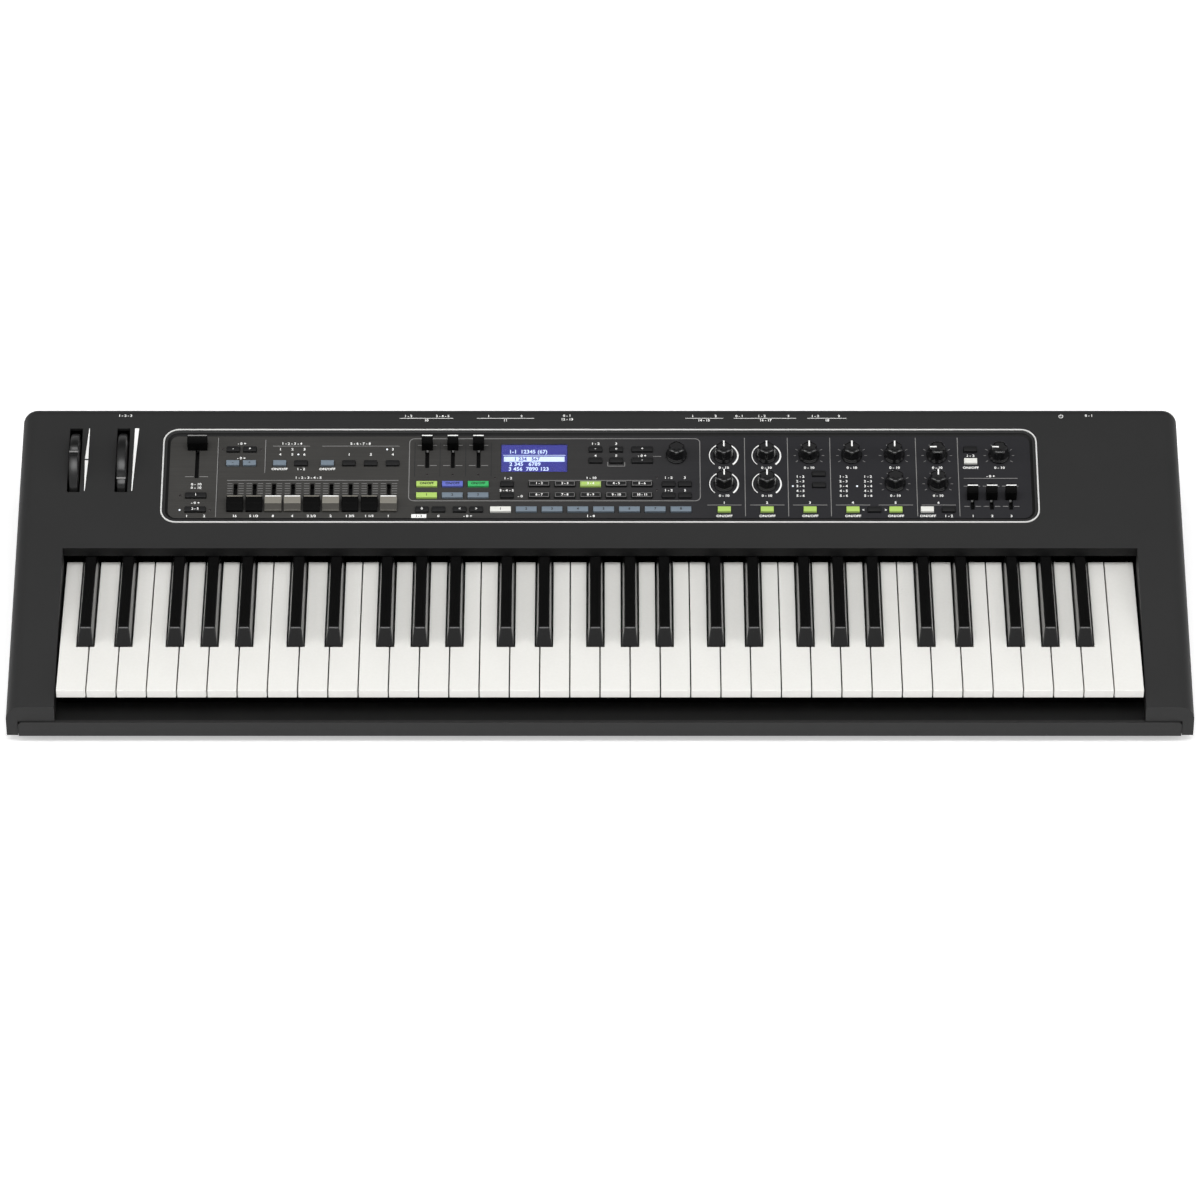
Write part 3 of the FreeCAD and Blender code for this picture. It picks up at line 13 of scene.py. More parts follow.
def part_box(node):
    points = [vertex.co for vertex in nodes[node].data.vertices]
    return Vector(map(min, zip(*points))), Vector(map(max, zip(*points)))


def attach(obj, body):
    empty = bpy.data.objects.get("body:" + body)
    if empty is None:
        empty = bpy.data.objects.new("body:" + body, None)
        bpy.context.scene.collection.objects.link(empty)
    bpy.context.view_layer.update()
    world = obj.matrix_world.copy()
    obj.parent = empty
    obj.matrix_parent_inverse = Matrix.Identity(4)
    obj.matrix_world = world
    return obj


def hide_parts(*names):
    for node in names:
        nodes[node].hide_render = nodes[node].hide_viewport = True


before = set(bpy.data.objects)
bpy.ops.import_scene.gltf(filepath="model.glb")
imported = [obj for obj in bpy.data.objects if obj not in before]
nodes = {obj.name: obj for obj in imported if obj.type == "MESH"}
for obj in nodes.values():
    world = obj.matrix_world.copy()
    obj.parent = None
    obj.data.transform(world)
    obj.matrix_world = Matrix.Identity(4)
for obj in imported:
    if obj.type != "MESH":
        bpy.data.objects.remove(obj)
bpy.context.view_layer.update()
CASE = "case_body"
MM = 0.001

# %% [markdown]
# The top of the case is one plane that slopes to the player. It is easiest to lay the controls out on
# that plane itself, with X across, a "row" measured down the slope from the upper back edge, and a
# rise above the surface. One matrix takes such a point to the frame, so a knob or a printed line is
# drawn flat and then placed by one function.

# %% The sloping plane of the top
TILT = math.radians(12.6)
BACK_EDGE = Vector((0, 143.5 * MM, 100.69 * MM))
PANEL_SINK = 2.0  # the sheet panel lies this far below the surface of the case, in millimetres


def slope_matrix(x=0.0, row=0.0, rise=0.0):
    """Takes a flat drawing in metres, y up the slope and z out of it, to a place on the top."""
    turn = Matrix.Rotation(TILT, 4, "X")
    start = BACK_EDGE + turn.to_3x3() @ Vector((x * MM, -row * MM, rise * MM))
    return Matrix.Translation(start) @ turn


centre = slope_matrix(0, 70.1, -PANEL_SINK).translation
print("middle of the panel:", [round(v, 4) for v in centre])

# %% [markdown]
# A long lens far away keeps the long case nearly free of perspective, so it looks like a catalogue
# picture. The camera looks down at 43 degrees from the player's side. One broad lamp hangs over the
# player, where no flat black surface mirrors it, and two slim ones at the ends put small glints on the
# knobs. A black card that stands behind the instrument, unseen by the camera, keeps flat black surfaces
# black, as a studio would do it. The floor is pale and has a little light of its own for the camera, so
# it looks nearly white and still takes the shadow of the case.

# %% Camera, floor and lamps
CAMERA_PLACE, LOOKS_DOWN, LENS = (0, -3.788, 3.552), math.radians(43), 194.9
WORLD_LIGHT = 0.42


def add_camera():
    data = bpy.data.cameras.new("catalogue_camera")
    data.sensor_width = 36
    data.lens = LENS
    data.clip_end = 50
    camera = bpy.data.objects.new("catalogue_camera", data)
    camera.location = CAMERA_PLACE
    camera.rotation_euler = (math.radians(90) - LOOKS_DOWN, 0, 0)
    bpy.context.collection.objects.link(camera)
    bpy.context.scene.camera = camera


def area_lamp(name, place, aim, size, watts):
    data = bpy.data.lights.new(name, "AREA")
    data.shape = "RECTANGLE"
    data.size, data.size_y = size
    data.energy = watts
    lamp = bpy.data.objects.new(name, data)
    lamp.visible_camera = False
    lamp.location = place
    lamp.rotation_euler = (Vector(aim) - Vector(place)).to_track_quat("-Z", "Y").to_euler()
    bpy.context.collection.objects.link(lamp)


def matte_material(name, level, lift):
    """A plain matte grey, with some light of its own for the camera and for reflections only."""
    material = bpy.data.materials.new(name)
    material.use_nodes = True
    tree = material.node_tree
    tree.nodes.clear()
    out = tree.nodes.new("ShaderNodeOutputMaterial")
    matte = tree.nodes.new("ShaderNodeBsdfDiffuse")
    matte.inputs["Color"].default_value = (level, level, level, 1)
    white = tree.nodes.new("ShaderNodeEmission")
    path = tree.nodes.new("ShaderNodeLightPath")
    seen = tree.nodes.new("ShaderNodeMath")
    seen.operation = "MAXIMUM"
    tree.links.new(path.outputs["Is Camera Ray"], seen.inputs[0])
    tree.links.new(path.outputs["Is Glossy Ray"], seen.inputs[1])
    amount = tree.nodes.new("ShaderNodeMath")
    amount.operation = "MULTIPLY"
    amount.inputs[1].default_value = lift
    tree.links.new(seen.outputs[0], amount.inputs[0])
    tree.links.new(amount.outputs[0], white.inputs["Strength"])
    both = tree.nodes.new("ShaderNodeAddShader")
    tree.links.new(matte.outputs[0], both.inputs[0])
    tree.links.new(white.outputs[0], both.inputs[1])
    tree.links.new(both.outputs[0], out.inputs["Surface"])
    return material


def floor_mesh():
    data = bpy.data.meshes.new("floor")
    half = 20.0
    corners = [(-half, -half, 0), (half, -half, 0), (half, half, 0), (-half, half, 0)]
    data.from_pydata(corners, [], [(0, 1, 2, 3)])
    floor = bpy.data.objects.new("floor", data)
    bpy.context.collection.objects.link(floor)
    data.materials.append(matte_material("pale_floor", 0.86, 0.42))


def black_card(y, low, high, half_width):
    """A dark card outside the picture that flat black surfaces mirror."""
    data = bpy.data.meshes.new("black_card")
    corners = [(-half_width, y, low), (half_width, y, low), (half_width, y, high), (-half_width, y, high)]
    data.from_pydata(corners, [], [(0, 1, 2, 3)])
    data.materials.append(matte_material("card_black", 0.02, 0.0))
    card = bpy.data.objects.new("black_card", data)
    card.visible_camera = False
    bpy.context.collection.objects.link(card)


add_camera()
floor_mesh()
black_card(1.7, 0.8, 2.9, 2.6)
area_lamp("over_softbox", (0, -1.1, 2.9), (0, 0, 0.05), (3.4, 1.3), 68)
for side, label in ((-1, "left"), (1, "right")):
    area_lamp(f"{label}_strip", (side * 2.4, -0.5, 1.5), (0, 0, 0.05), (0.5, 1.6), 13)


def studio_world(level):
    """Soft light from all round; the camera itself sees white beyond the floor."""
    world = bpy.data.worlds.new("studio")
    world.use_nodes = True
    tree = world.node_tree
    background = tree.nodes["Background"]
    background.inputs["Color"].default_value = (1, 1, 1, 1)
    path = tree.nodes.new("ShaderNodeLightPath")
    amount = tree.nodes.new("ShaderNodeMath")
    amount.operation = "MULTIPLY_ADD"
    amount.inputs[1].default_value, amount.inputs[2].default_value = 1 - level, level
    tree.links.new(path.outputs["Is Camera Ray"], amount.inputs[0])
    tree.links.new(amount.outputs[0], background.inputs["Strength"])
    bpy.context.scene.world = world


studio_world(WORLD_LIGHT)
bpy.context.scene.view_settings.view_transform = "Standard"
print("camera:", tuple(bpy.context.scene.camera.location))

# %% [markdown]
# Most of the instrument is moulded plastic or painted metal. Real mouldings are never one flat colour:
# they have a fine spark-eroded grain, faint clouds in their tone, and a roughness that wanders. One
# helper builds that from two noises on Object coordinates, and each finish below gives it its numbers.

# %% A helper for moulded and painted finishes
CLOUD_SCALE, ROUGHNESS_WANDER, GRAIN_DEPTH = 22.0, 0.06, 0.0002


def srgb(*levels):
    """Screen levels from 0 to 255 as the linear colour that a shader wants."""
    return tuple((v / 255 / 12.92) if v <= 10 else ((v / 255 + 0.055) / 1.055) ** 2.4 for v in levels) + (1,)


def node_of(tree, kind, **values):
    node = tree.nodes.new(kind)
    for name, value in values.items():
        if name in node.inputs:
            node.inputs[name].default_value = value
        else:
            setattr(node, name, value)
    return node


def mixed_colour(tree, factor, one, two):
    """A colour that goes from one to two as the factor goes from 0 to 1."""
    mix = tree.nodes.new("ShaderNodeMix")
    mix.data_type = "RGBA"
    for socket, colour in ((mix.inputs[6], one), (mix.inputs[7], two)):
        if isinstance(colour, tuple):
            socket.default_value = colour
        else:
            tree.links.new(colour, socket)
    tree.links.new(factor, mix.inputs[0])
    return mix.outputs[2]


def finish_material(name, dark, light, roughness, grain=1400.0, relief=0.05, stretch=(1, 1, 1), glow=0.0,
                    **shader):
    """A Principled finish whose tone clouds from dark to light over a fine grain, and may glow."""
    material = bpy.data.materials.new(name)
    material.use_nodes = True
    tree = material.node_tree
    surface = tree.nodes["Principled BSDF"]
    for socket, value in shader.items():
        surface.inputs[socket.replace("_", " ")].default_value = value
    where = node_of(tree, "ShaderNodeTexCoord")
    turn = node_of(tree, "ShaderNodeMapping", Scale=stretch)
    tree.links.new(where.outputs["Object"], turn.inputs["Vector"])
    clouds = node_of(tree, "ShaderNodeTexNoise", Scale=CLOUD_SCALE, Detail=4.0)
    fine = node_of(tree, "ShaderNodeTexNoise", Scale=grain, Detail=2.0)
    tree.links.new(where.outputs["Object"], clouds.inputs["Vector"])
    tree.links.new(turn.outputs[0], fine.inputs["Vector"])
    blend = node_of(tree, "ShaderNodeMath", operation="ADD")
    halves = [node_of(tree, "ShaderNodeMath", operation="MULTIPLY") for _ in range(2)]
    for half, noise in zip(halves, (clouds, fine)):
        half.inputs[1].default_value = 0.5
        tree.links.new(noise.outputs["Fac"], half.inputs[0])
    tree.links.new(halves[0].outputs[0], blend.inputs[0])
    tree.links.new(halves[1].outputs[0], blend.inputs[1])
    tone = mixed_colour(tree, blend.outputs[0], dark, light)
    tree.links.new(tone, surface.inputs["Base Color"])
    if glow:
        tree.links.new(tone, surface.inputs["Emission Color"])
        surface.inputs["Emission Strength"].default_value = glow
    span = node_of(tree, "ShaderNodeMapRange")
    span.inputs["To Min"].default_value = roughness - ROUGHNESS_WANDER
    span.inputs["To Max"].default_value = roughness + ROUGHNESS_WANDER
    tree.links.new(blend.outputs[0], span.inputs["Value"])
    tree.links.new(span.outputs[0], surface.inputs["Roughness"])
    bump = node_of(tree, "ShaderNodeBump", Strength=relief, Distance=GRAIN_DEPTH)
    tree.links.new(fine.outputs["Fac"], bump.inputs["Height"])
    tree.links.new(bump.outputs[0], surface.inputs["Normal"])
    return material


# %% [markdown]
# The case is a near-black matte plastic. The keys are glossier: the white ones a warm white resin with
# a soft clear shine, the black ones a polished black. Knobs are dark and glossy, slider caps and wheels
# dark satin.

# %% Finishes of the case, keys and controls
case_plastic = finish_material("case_plastic", srgb(34, 34, 34), srgb(41, 41, 41), 0.56, relief=0.10,
                               Specular_IOR_Level=0.3)
# Dark plastic, also used as painted shade on the wall over the keys and on the white keys' levers.
dark_plastic = finish_material("dark_plastic", srgb(10, 10, 10), srgb(17, 17, 17), 0.6,
                               Specular_IOR_Level=0.25)
white_resin = finish_material("white_resin", srgb(232, 231, 226), srgb(244, 243, 239), 0.30, grain=500.0,
                              relief=0.01, Coat_Weight=0.25, Coat_Roughness=0.10)
black_resin = finish_material("black_resin", srgb(8, 8, 8), srgb(14, 14, 14), 0.22, grain=500.0, relief=0.01,
                              Coat_Weight=0.25, Coat_Roughness=0.05)
knob_plastic = finish_material("knob_plastic", srgb(9, 9, 10), srgb(16, 16, 17), 0.18, relief=0.05,
                               Coat_Weight=0.3, Coat_Roughness=0.12)
wheel_plastic = finish_material("wheel_plastic", srgb(22, 22, 22), srgb(34, 34, 34), 0.30, relief=0.05)
# White ink that glows a little, painted light that keeps the print bright; it also draws the painted
# highlight lines on the light drawbar caps.
white_ink_and_highlight = finish_material("white_ink_and_highlight", srgb(232, 232, 230), srgb(250, 250, 248), 0.55, relief=0.02,
                            glow=0.12)
# Grey ink, which also draws the painted glint across the notch of each wheel.
grey_ink_and_glint = finish_material("grey_ink_and_glint", srgb(122, 121, 120), srgb(146, 145, 144), 0.55, relief=0.02)
ink_black = finish_material("ink_black", srgb(20, 20, 22), srgb(34, 34, 36), 0.55, relief=0.02)
trim_silver = finish_material("trim_silver", srgb(228, 228, 226), srgb(246, 246, 244), 0.30, relief=0.02,
                              Metallic=0.25)
foot_rubber = finish_material("foot_rubber", srgb(20, 20, 20), srgb(34, 34, 34), 0.80, relief=0.20)
# The light drawbar caps' own grey, which also draws the painted highlight lines on the dark caps.
drawbar_grey_and_highlight = finish_material("drawbar_grey_and_highlight", srgb(118, 115, 107), srgb(134, 131, 122), 0.42, relief=0.03,
                               Specular_IOR_Level=0.3)
cap_black = finish_material("cap_black", srgb(5, 5, 5), srgb(10, 10, 10), 0.55, relief=0.05,
                            Specular_IOR_Level=0.06)
# A darker grey for the fronts of the light drawbar caps: painted shade.
drawbar_painted_shade = finish_material("drawbar_painted_shade", srgb(66, 64, 60), srgb(78, 76, 71), 0.5,
                                Specular_IOR_Level=0.2)
print("finishes:", len(bpy.data.materials))

# %% [markdown]
# The sheet panel is dark brushed metal. Its tone drifts from a warm grey at the left to a cool one at
# the right, and the brush lines run along it. Stretching a noise along X draws such lines.

# %% The brushed panel
def brushed_panel():
    material = finish_material("panel_metal", srgb(52, 51, 49), srgb(74, 73, 71), 0.46, grain=900.0,
                               relief=0.10, stretch=(0.02, 1, 1), Metallic=0.2, Specular_IOR_Level=0.3)
    tree = material.node_tree
    surface = tree.nodes["Principled BSDF"]
    warm = surface.inputs["Base Color"].links[0].from_socket
    where = node_of(tree, "ShaderNodeTexCoord")
    parts = node_of(tree, "ShaderNodeSeparateXYZ")
    tree.links.new(where.outputs["Object"], parts.inputs[0])
    drift = node_of(tree, "ShaderNodeMapRange")
    drift.inputs["From Min"].default_value = -0.16
    drift.inputs["From Max"].default_value = 0.12
    drift.inputs["To Max"].default_value = 0.9
    tree.links.new(parts.outputs["X"], drift.inputs["Value"])
    tree.links.new(mixed_colour(tree, drift.outputs[0], warm, srgb(38, 38, 42)), surface.inputs["Base Color"])
    return material


panel_metal = brushed_panel()
print("brushed panel:", panel_metal.name)

# %% [markdown]
# The push buttons come in several colours, and some are lit from inside. A colour attribute on the
# mesh says which button has which tint, and one material reads it. The lit ones also glow a little.

# %% Button plastic that reads its tint from the mesh
def tinted_plastic():
    material = finish_material("button_plastic", srgb(30, 30, 30), srgb(40, 40, 40), 0.38, relief=0.03)
    tree = material.node_tree
    surface = tree.nodes["Principled BSDF"]
    tint = node_of(tree, "ShaderNodeAttribute", attribute_name="tint")
    glow = node_of(tree, "ShaderNodeAttribute", attribute_name="glow")
    clouds = next(n for n in tree.nodes if n.bl_idname == "ShaderNodeTexNoise")
    shade = node_of(tree, "ShaderNodeMapRange")
    shade.inputs["To Min"].default_value = 0.86
    shade.inputs["To Max"].default_value = 1.0
    tree.links.new(clouds.outputs["Fac"], shade.inputs["Value"])
    toned = node_of(tree, "ShaderNodeVectorMath", operation="SCALE")
    tree.links.new(tint.outputs["Color"], toned.inputs[0])
    tree.links.new(shade.outputs[0], toned.inputs["Scale"])
    tree.links.new(toned.outputs[0], surface.inputs["Base Color"])
    tree.links.new(toned.outputs[0], surface.inputs["Emission Color"])
    tree.links.new(glow.outputs["Fac"], surface.inputs["Emission Strength"])
    return material


button_plastic = tinted_plastic()

# %% [markdown]
# Pieces that repeat are made once and repeated by Geometry Nodes. The first tree sets copies of its
# input along a line: one key becomes a row of keys an octave apart. The second turns copies round an
# axis, for the scales round the knobs. Both end in plain geometry with one material.

# %% Two repeating trees
def new_tree(name, sockets):
    tree = bpy.data.node_groups.new(name, "GeometryNodeTree")
    tree.interface.new_socket("Geometry", in_out="INPUT", socket_type="NodeSocketGeometry")
    for label, kind in sockets:
        tree.interface.new_socket(label, in_out="INPUT", socket_type=kind)
    tree.interface.new_socket("Geometry", in_out="OUTPUT", socket_type="NodeSocketGeometry")
    return tree, tree.nodes.new("NodeGroupInput"), tree.nodes.new("NodeGroupOutput")


def close_tree(tree, start, end, instances):
    """Every tree ends in real geometry with its material set."""
    real = tree.nodes.new("GeometryNodeRealizeInstances")
    paint = tree.nodes.new("GeometryNodeSetMaterial")
    tree.links.new(instances, real.inputs[0])
    tree.links.new(real.outputs[0], paint.inputs["Geometry"])
    tree.links.new(start.outputs["Material"], paint.inputs["Material"])
    tree.links.new(paint.outputs[0], end.inputs[0])


def line_tree():
    tree, start, end = new_tree("copies_along_a_line", [
        ("Count", "NodeSocketInt"), ("Step", "NodeSocketVector"), ("Material", "NodeSocketMaterial")])
    line = tree.nodes.new("GeometryNodeMeshLine")
    copies = tree.nodes.new("GeometryNodeInstanceOnPoints")
    tree.links.new(start.outputs["Count"], line.inputs["Count"])
    tree.links.new(start.outputs["Step"], line.inputs["Offset"])
    tree.links.new(line.outputs[0], copies.inputs["Points"])
    tree.links.new(start.outputs["Geometry"], copies.inputs["Instance"])
    close_tree(tree, start, end, copies.outputs[0])
    return tree


def ring_tree():
    tree, start, end = new_tree("copies_round_an_axis", [
        ("Count", "NodeSocketInt"), ("First", "NodeSocketFloat"), ("Step", "NodeSocketFloat"),
        ("Material", "NodeSocketMaterial")])
    points = tree.nodes.new("GeometryNodePoints")
    copies = tree.nodes.new("GeometryNodeInstanceOnPoints")
    index = tree.nodes.new("GeometryNodeInputIndex")
    angle = node_of(tree, "ShaderNodeMath", operation="MULTIPLY_ADD")
    spin = tree.nodes.new("ShaderNodeCombineXYZ")
    tree.links.new(start.outputs["Count"], points.inputs["Count"])
    tree.links.new(index.outputs[0], angle.inputs[0])
    tree.links.new(start.outputs["Step"], angle.inputs[1])
    tree.links.new(start.outputs["First"], angle.inputs[2])
    tree.links.new(angle.outputs[0], spin.inputs["Z"])
    tree.links.new(points.outputs[0], copies.inputs["Points"])
    tree.links.new(start.outputs["Geometry"], copies.inputs["Instance"])
    tree.links.new(spin.outputs[0], copies.inputs["Rotation"])
    close_tree(tree, start, end, copies.outputs[0])
    return tree


COPY_LINE, COPY_RING = line_tree(), ring_tree()


def grow(thing, tree, **inputs):
    """Adds a Geometry Nodes modifier and sets its inputs by the sockets' identifiers."""
    modifier = thing.modifiers.new(tree.name, "NODES")
    modifier.node_group = tree
    for item in tree.interface.items_tree:
        if item.in_out == "INPUT" and item.name in inputs:
            modifier[item.identifier] = inputs[item.name]


def applied(thing):
    """The evaluated shape as a plain mesh; the working object is removed."""
    seen = thing.evaluated_get(bpy.context.evaluated_depsgraph_get())
    data = bpy.data.meshes.new_from_object(seen)
    bpy.data.objects.remove(thing)
    return data


def working(name, data):
    thing = bpy.data.objects.new(name, data)
    bpy.context.collection.objects.link(thing)
    return thing


def smooth(data, degrees=35):
    """Shades a mesh smooth, with hard edges where it turns more than the angle."""
    shape = bmesh.new()
    shape.from_mesh(data)
    for face in shape.faces:
        face.smooth = True
    for edge in shape.edges:
        edge.smooth = not (edge.is_manifold and edge.calc_face_angle() > math.radians(degrees))
    shape.to_mesh(data)
    shape.free()


def settle(name, data, body, replaced=(), angle=35):
    """Makes a finished piece: plain mesh at the origin, riding on its body."""
    data.name = name
    smooth(data, angle)
    piece = working(name, data)
    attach(piece, body)
    if replaced:
        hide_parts(*replaced)
    return piece


print("trees:", COPY_LINE.name, COPY_RING.name)

# %% [markdown]
# Shapes are drawn in millimetres with bmesh. Three small makers cover most pieces: a prism from an
# outline, a turned form from a profile, and a block. A bevel rounds the edges of keys, caps and buttons,
# because a real moulding always has a small radius that catches the light.

# %% Mesh makers
def prism(shape, outline, low, high, place=Matrix()):
    """Adds a closed prism over a flat outline, counter-clockwise seen from above."""
    rings = [[shape.verts.new(place @ Vector((x * MM, y * MM, z * MM))) for x, y in outline]
             for z in (low, high)]
    count = len(outline)
    faces = [shape.faces.new(list(reversed(rings[0]))), shape.faces.new(rings[1])]
    for i in range(count):
        j = (i + 1) % count
        faces.append(shape.faces.new((rings[0][i], rings[0][j], rings[1][j], rings[1][i])))
    return faces


def block(shape, x0, x1, y0, y1, z0, z1, place=Matrix()):
    return prism(shape, [(x0, y0), (x1, y0), (x1, y1), (x0, y1)], z0, z1, place)


def lathe(shape, profile, steps=40, place=Matrix(), radius_at=None):
    """Adds a turned form; the profile starts and ends on the axis. radius_at may flute it."""
    rings = []
    for r, z in profile:
        if r == 0:
            rings.append([shape.verts.new(place @ Vector((0, 0, z * MM)))])
            continue
        ring = []
        for i in range(steps):
            angle = 2 * math.pi * i / steps
            reach = r * (radius_at(angle, z) if radius_at else 1)
            spot = Vector((reach * math.cos(angle) * MM, reach * math.sin(angle) * MM, z * MM))
            ring.append(shape.verts.new(place @ spot))
        rings.append(ring)
    for low, high in zip(rings, rings[1:]):
        for i in range(steps):
            j = (i + 1) % steps
            corners = [low[i % len(low)], low[j % len(low)], high[j % len(high)], high[i % len(high)]]
            unique = [v for k, v in enumerate(corners) if v not in corners[:k]]
            shape.faces.new(unique)


def mesh_from(draw, name="drawing", bevel=0.0, segments=2):
    """Runs a drawing function on a bmesh, softens its edges, and returns a mesh that faces outwards."""
    shape = bmesh.new()
    draw(shape)
    bmesh.ops.recalc_face_normals(shape, faces=shape.faces)
    if bevel:
        sharp = [e for e in shape.edges if e.is_manifold and e.calc_face_angle() > math.radians(25)]
        bmesh.ops.bevel(shape, geom=sharp, offset=bevel * MM, segments=segments, profile=0.6, affect="EDGES",
                        clamp_overlap=True)
    data = bpy.data.meshes.new(name)
    shape.to_mesh(data)
    shape.free()
    return data


def paint(data, *materials):
    """Gives a mesh its materials and keeps which face has which; clearing the list would forget it."""
    choices = [polygon.material_index for polygon in data.polygons]
    data.materials.clear()
    for material in materials:
        data.materials.append(material)
    data.polygons.foreach_set("material_index", choices)
    return data


def colour_from(shape, first, index=1):
    """Gives another material to the faces made from the first one on."""
    shape.faces.ensure_lookup_table()
    for face in shape.faces[first:]:
        face.material_index = index


print("mesh makers ready")

# %% [markdown]
# The case halves, the sheet panel, the sockets, three small controls and the pieces inside keep their
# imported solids: their shapes are right, so they only need a finish. Circuit boards get a green mask, the
# data sockets and the screws are steel, and the felts are a dark grey cloth.

# %% Finishes for the solids that stay as they are
def finish_solid(material, *names):
    for name in names:
        data = nodes[name].data
        paint(data, material)
        for polygon in data.polygons:
            polygon.material_index = 0


FALLBOARD_Y, FALLBOARD_TOP = 6.2, 72.0


def fallboard_felt_and_painted_shade():
    """The low wall over the keys is darker than the rest of the case: partly a dark felt strip, partly
    painted shade under the edge of the top.
    """
    data = nodes["top_case"].data
    data.materials.append(dark_plastic)
    for polygon in data.polygons:
        middle = polygon.center / MM
        if polygon.normal.y < -0.9 and abs(middle.y - FALLBOARD_Y) < 1 and middle.z < FALLBOARD_TOP:
            polygon.material_index = 1


finish_solid(case_plastic, "top_case", "bottom_case", "battery_cover")
fallboard_felt_and_painted_shade()
finish_solid(dark_plastic, "key_slip", "wheel_bracket", "power_socket", "phone_jacks", "key_frame")
finish_solid(foot_rubber, "rubber_feet")
finish_solid(panel_metal, "control_panel")
finish_solid(finish_material("board_green", srgb(20, 66, 34), srgb(34, 88, 50), 0.40), "panel_board",
             "circuit_boards", "contact_board")
finish_solid(dark_plastic, "potentiometers")
shell_steel = finish_material("shell_steel", srgb(150, 151, 153), srgb(182, 183, 185), 0.34, Metallic=1.0)
finish_solid(shell_steel, "data_sockets", "case_screws")
finish_solid(finish_material("speaker_black", srgb(18, 18, 19), srgb(32, 32, 33), 0.60, relief=0.3),
             "speakers")
finish_solid(finish_material("cell_jacket", srgb(52, 54, 60), srgb(74, 76, 82), 0.35, Metallic=0.4),
             "batteries")
finish_solid(finish_material("felt_grey", srgb(26, 25, 25), srgb(40, 38, 38), 0.95, relief=0.6,
                             Sheen_Weight=0.4), "key_felts")
finish_solid(finish_material("screen_body", srgb(36, 37, 80), srgb(44, 46, 96), 0.30), "display_module")
finish_solid(knob_plastic, "gain_knob", "power_button", "speaker_switch")
print("solids finished")

# %% [markdown]
# The panel sits in a shallow tray. A thin bright line runs all the way round it, with a dark band
# inside that slopes down to the sheet. Both are one moulding, swept round a rectangle with round
# corners, so they are drawn as loops: the same outline, grown or shrunk, at several heights.

# %% The frame of the panel
PANEL_HALF_WIDTH, PANEL_HALF_LENGTH, PANEL_ROW, PANEL_ROUND = 349.5, 45.3, 70.1, 12.0
ON_PANEL = slope_matrix(0, PANEL_ROW, 0)


def round_loop(half_width, half_length, radius, steps=8):
    """Points of a rectangle with round corners, counter-clockwise."""
    points = []
    for turn, (sx, sy) in enumerate(((1, 1), (-1, 1), (-1, -1), (1, -1))):
        for i in range(steps + 1):
            angle = math.radians(90 * (turn + i / steps))
            points.append((sx * (half_width - radius) + radius * math.cos(angle),
                           sy * (half_length - radius) + radius * math.sin(angle)))
    return points


def sweep_frame(shape, profile, half_width, half_length, radius, place):
    """Sweeps a closed profile of (growth, height) round the loop."""
    rings = []
    for growth, height in profile:
        loop = round_loop(half_width + growth, half_length + growth, max(radius + growth, 0.2))
        rings.append([shape.verts.new(place @ Vector((x * MM, y * MM, height * MM))) for x, y in loop])
    faces = []
    for ring, following in zip(rings, rings[1:] + rings[:1]):
        for i in range(len(ring)):
            j = (i + 1) % len(ring)
            faces.append(shape.faces.new((ring[i], ring[j], following[j], following[i])))
    return faces


def panel_frame(shape):
    line = [(0.65, -2.0), (0.65, 0.1), (0.5, 0.4), (-0.5, 0.4), (-0.62, 0.1), (-0.62, -2.0)]
    band = [(-0.62, -2.0), (-0.62, -0.1), (-3.0, -0.3), (-3.7, -1.2), (-5.2, -1.9), (-5.2, -2.0)]
    sweep_frame(shape, line, PANEL_HALF_WIDTH, PANEL_HALF_LENGTH, PANEL_ROUND, ON_PANEL)
    faces = sweep_frame(shape, band, PANEL_HALF_WIDTH, PANEL_HALF_LENGTH, PANEL_ROUND, ON_PANEL)
    per_ring = len(faces) // len(band)
    for number, face in enumerate(faces):
        face.material_index = 2 if number // per_ring == 1 else 1


settle("panel_frame", paint(mesh_from(panel_frame), trim_silver, dark_plastic, case_plastic), CASE,
       ["panel_trim"])

# %% [markdown]
# Every line and figure on the top is screen-printed ink. A texture would blur at this size and would
# need a picture file, so the ink is drawn as very thin strips that lie on the sheet: straight rules,
# arcs and frames from one ribbon maker, and plain numbers from the built-in letter outlines.

# %% Ink ribbons and figures
INK_BOTTOM, INK_TOP = 0.02, 0.08
WHITE_INK, GREY_INK, DARK_INK, LAMP_OFF, LAMP_ON = range(5)


def ribbon(shape, points, width, rise, ink=WHITE_INK, closed=False):
    """A strip of ink through points (x, row); the width is one number or one for each point."""
    spots = [Vector((x, -row)) for x, row in points]
    widths = [width] * len(spots) if isinstance(width, (int, float)) else width
    stations = []
    for i, spot in enumerate(spots):
        before = spots[i - 1] if i or closed else spots[i]
        after = spots[(i + 1) % len(spots)] if i + 1 < len(spots) or closed else spots[i]
        one, two = (spot - before).normalized(), (after - spot).normalized()
        way = (one + two).normalized()
        edge = Vector((-way.y, way.x))
        reach = widths[i] / 2 / max(0.5, abs(edge.dot(Vector((-two.y, two.x)))) if two.length else 1.0)
        sides = (spot - edge * reach, spot + edge * reach)
        stations.append([shape.verts.new(slope_matrix(side.x, -side.y, rise + high).translation)
                         for high in (INK_BOTTOM, INK_TOP) for side in sides])
    faces = []
    pairs = list(zip(stations, stations[1:])) + ([(stations[-1], stations[0])] if closed else [])
    for a, b in pairs:
        for m, n in ((0, 1), (1, 3), (3, 2), (2, 0)):
            faces.append(shape.faces.new((a[m], a[n], b[n], b[m])))
    if not closed:
        for end in (stations[0], stations[-1]):
            faces.append(shape.faces.new((end[0], end[1], end[3], end[2])))
    for face in faces:
        face.material_index = ink


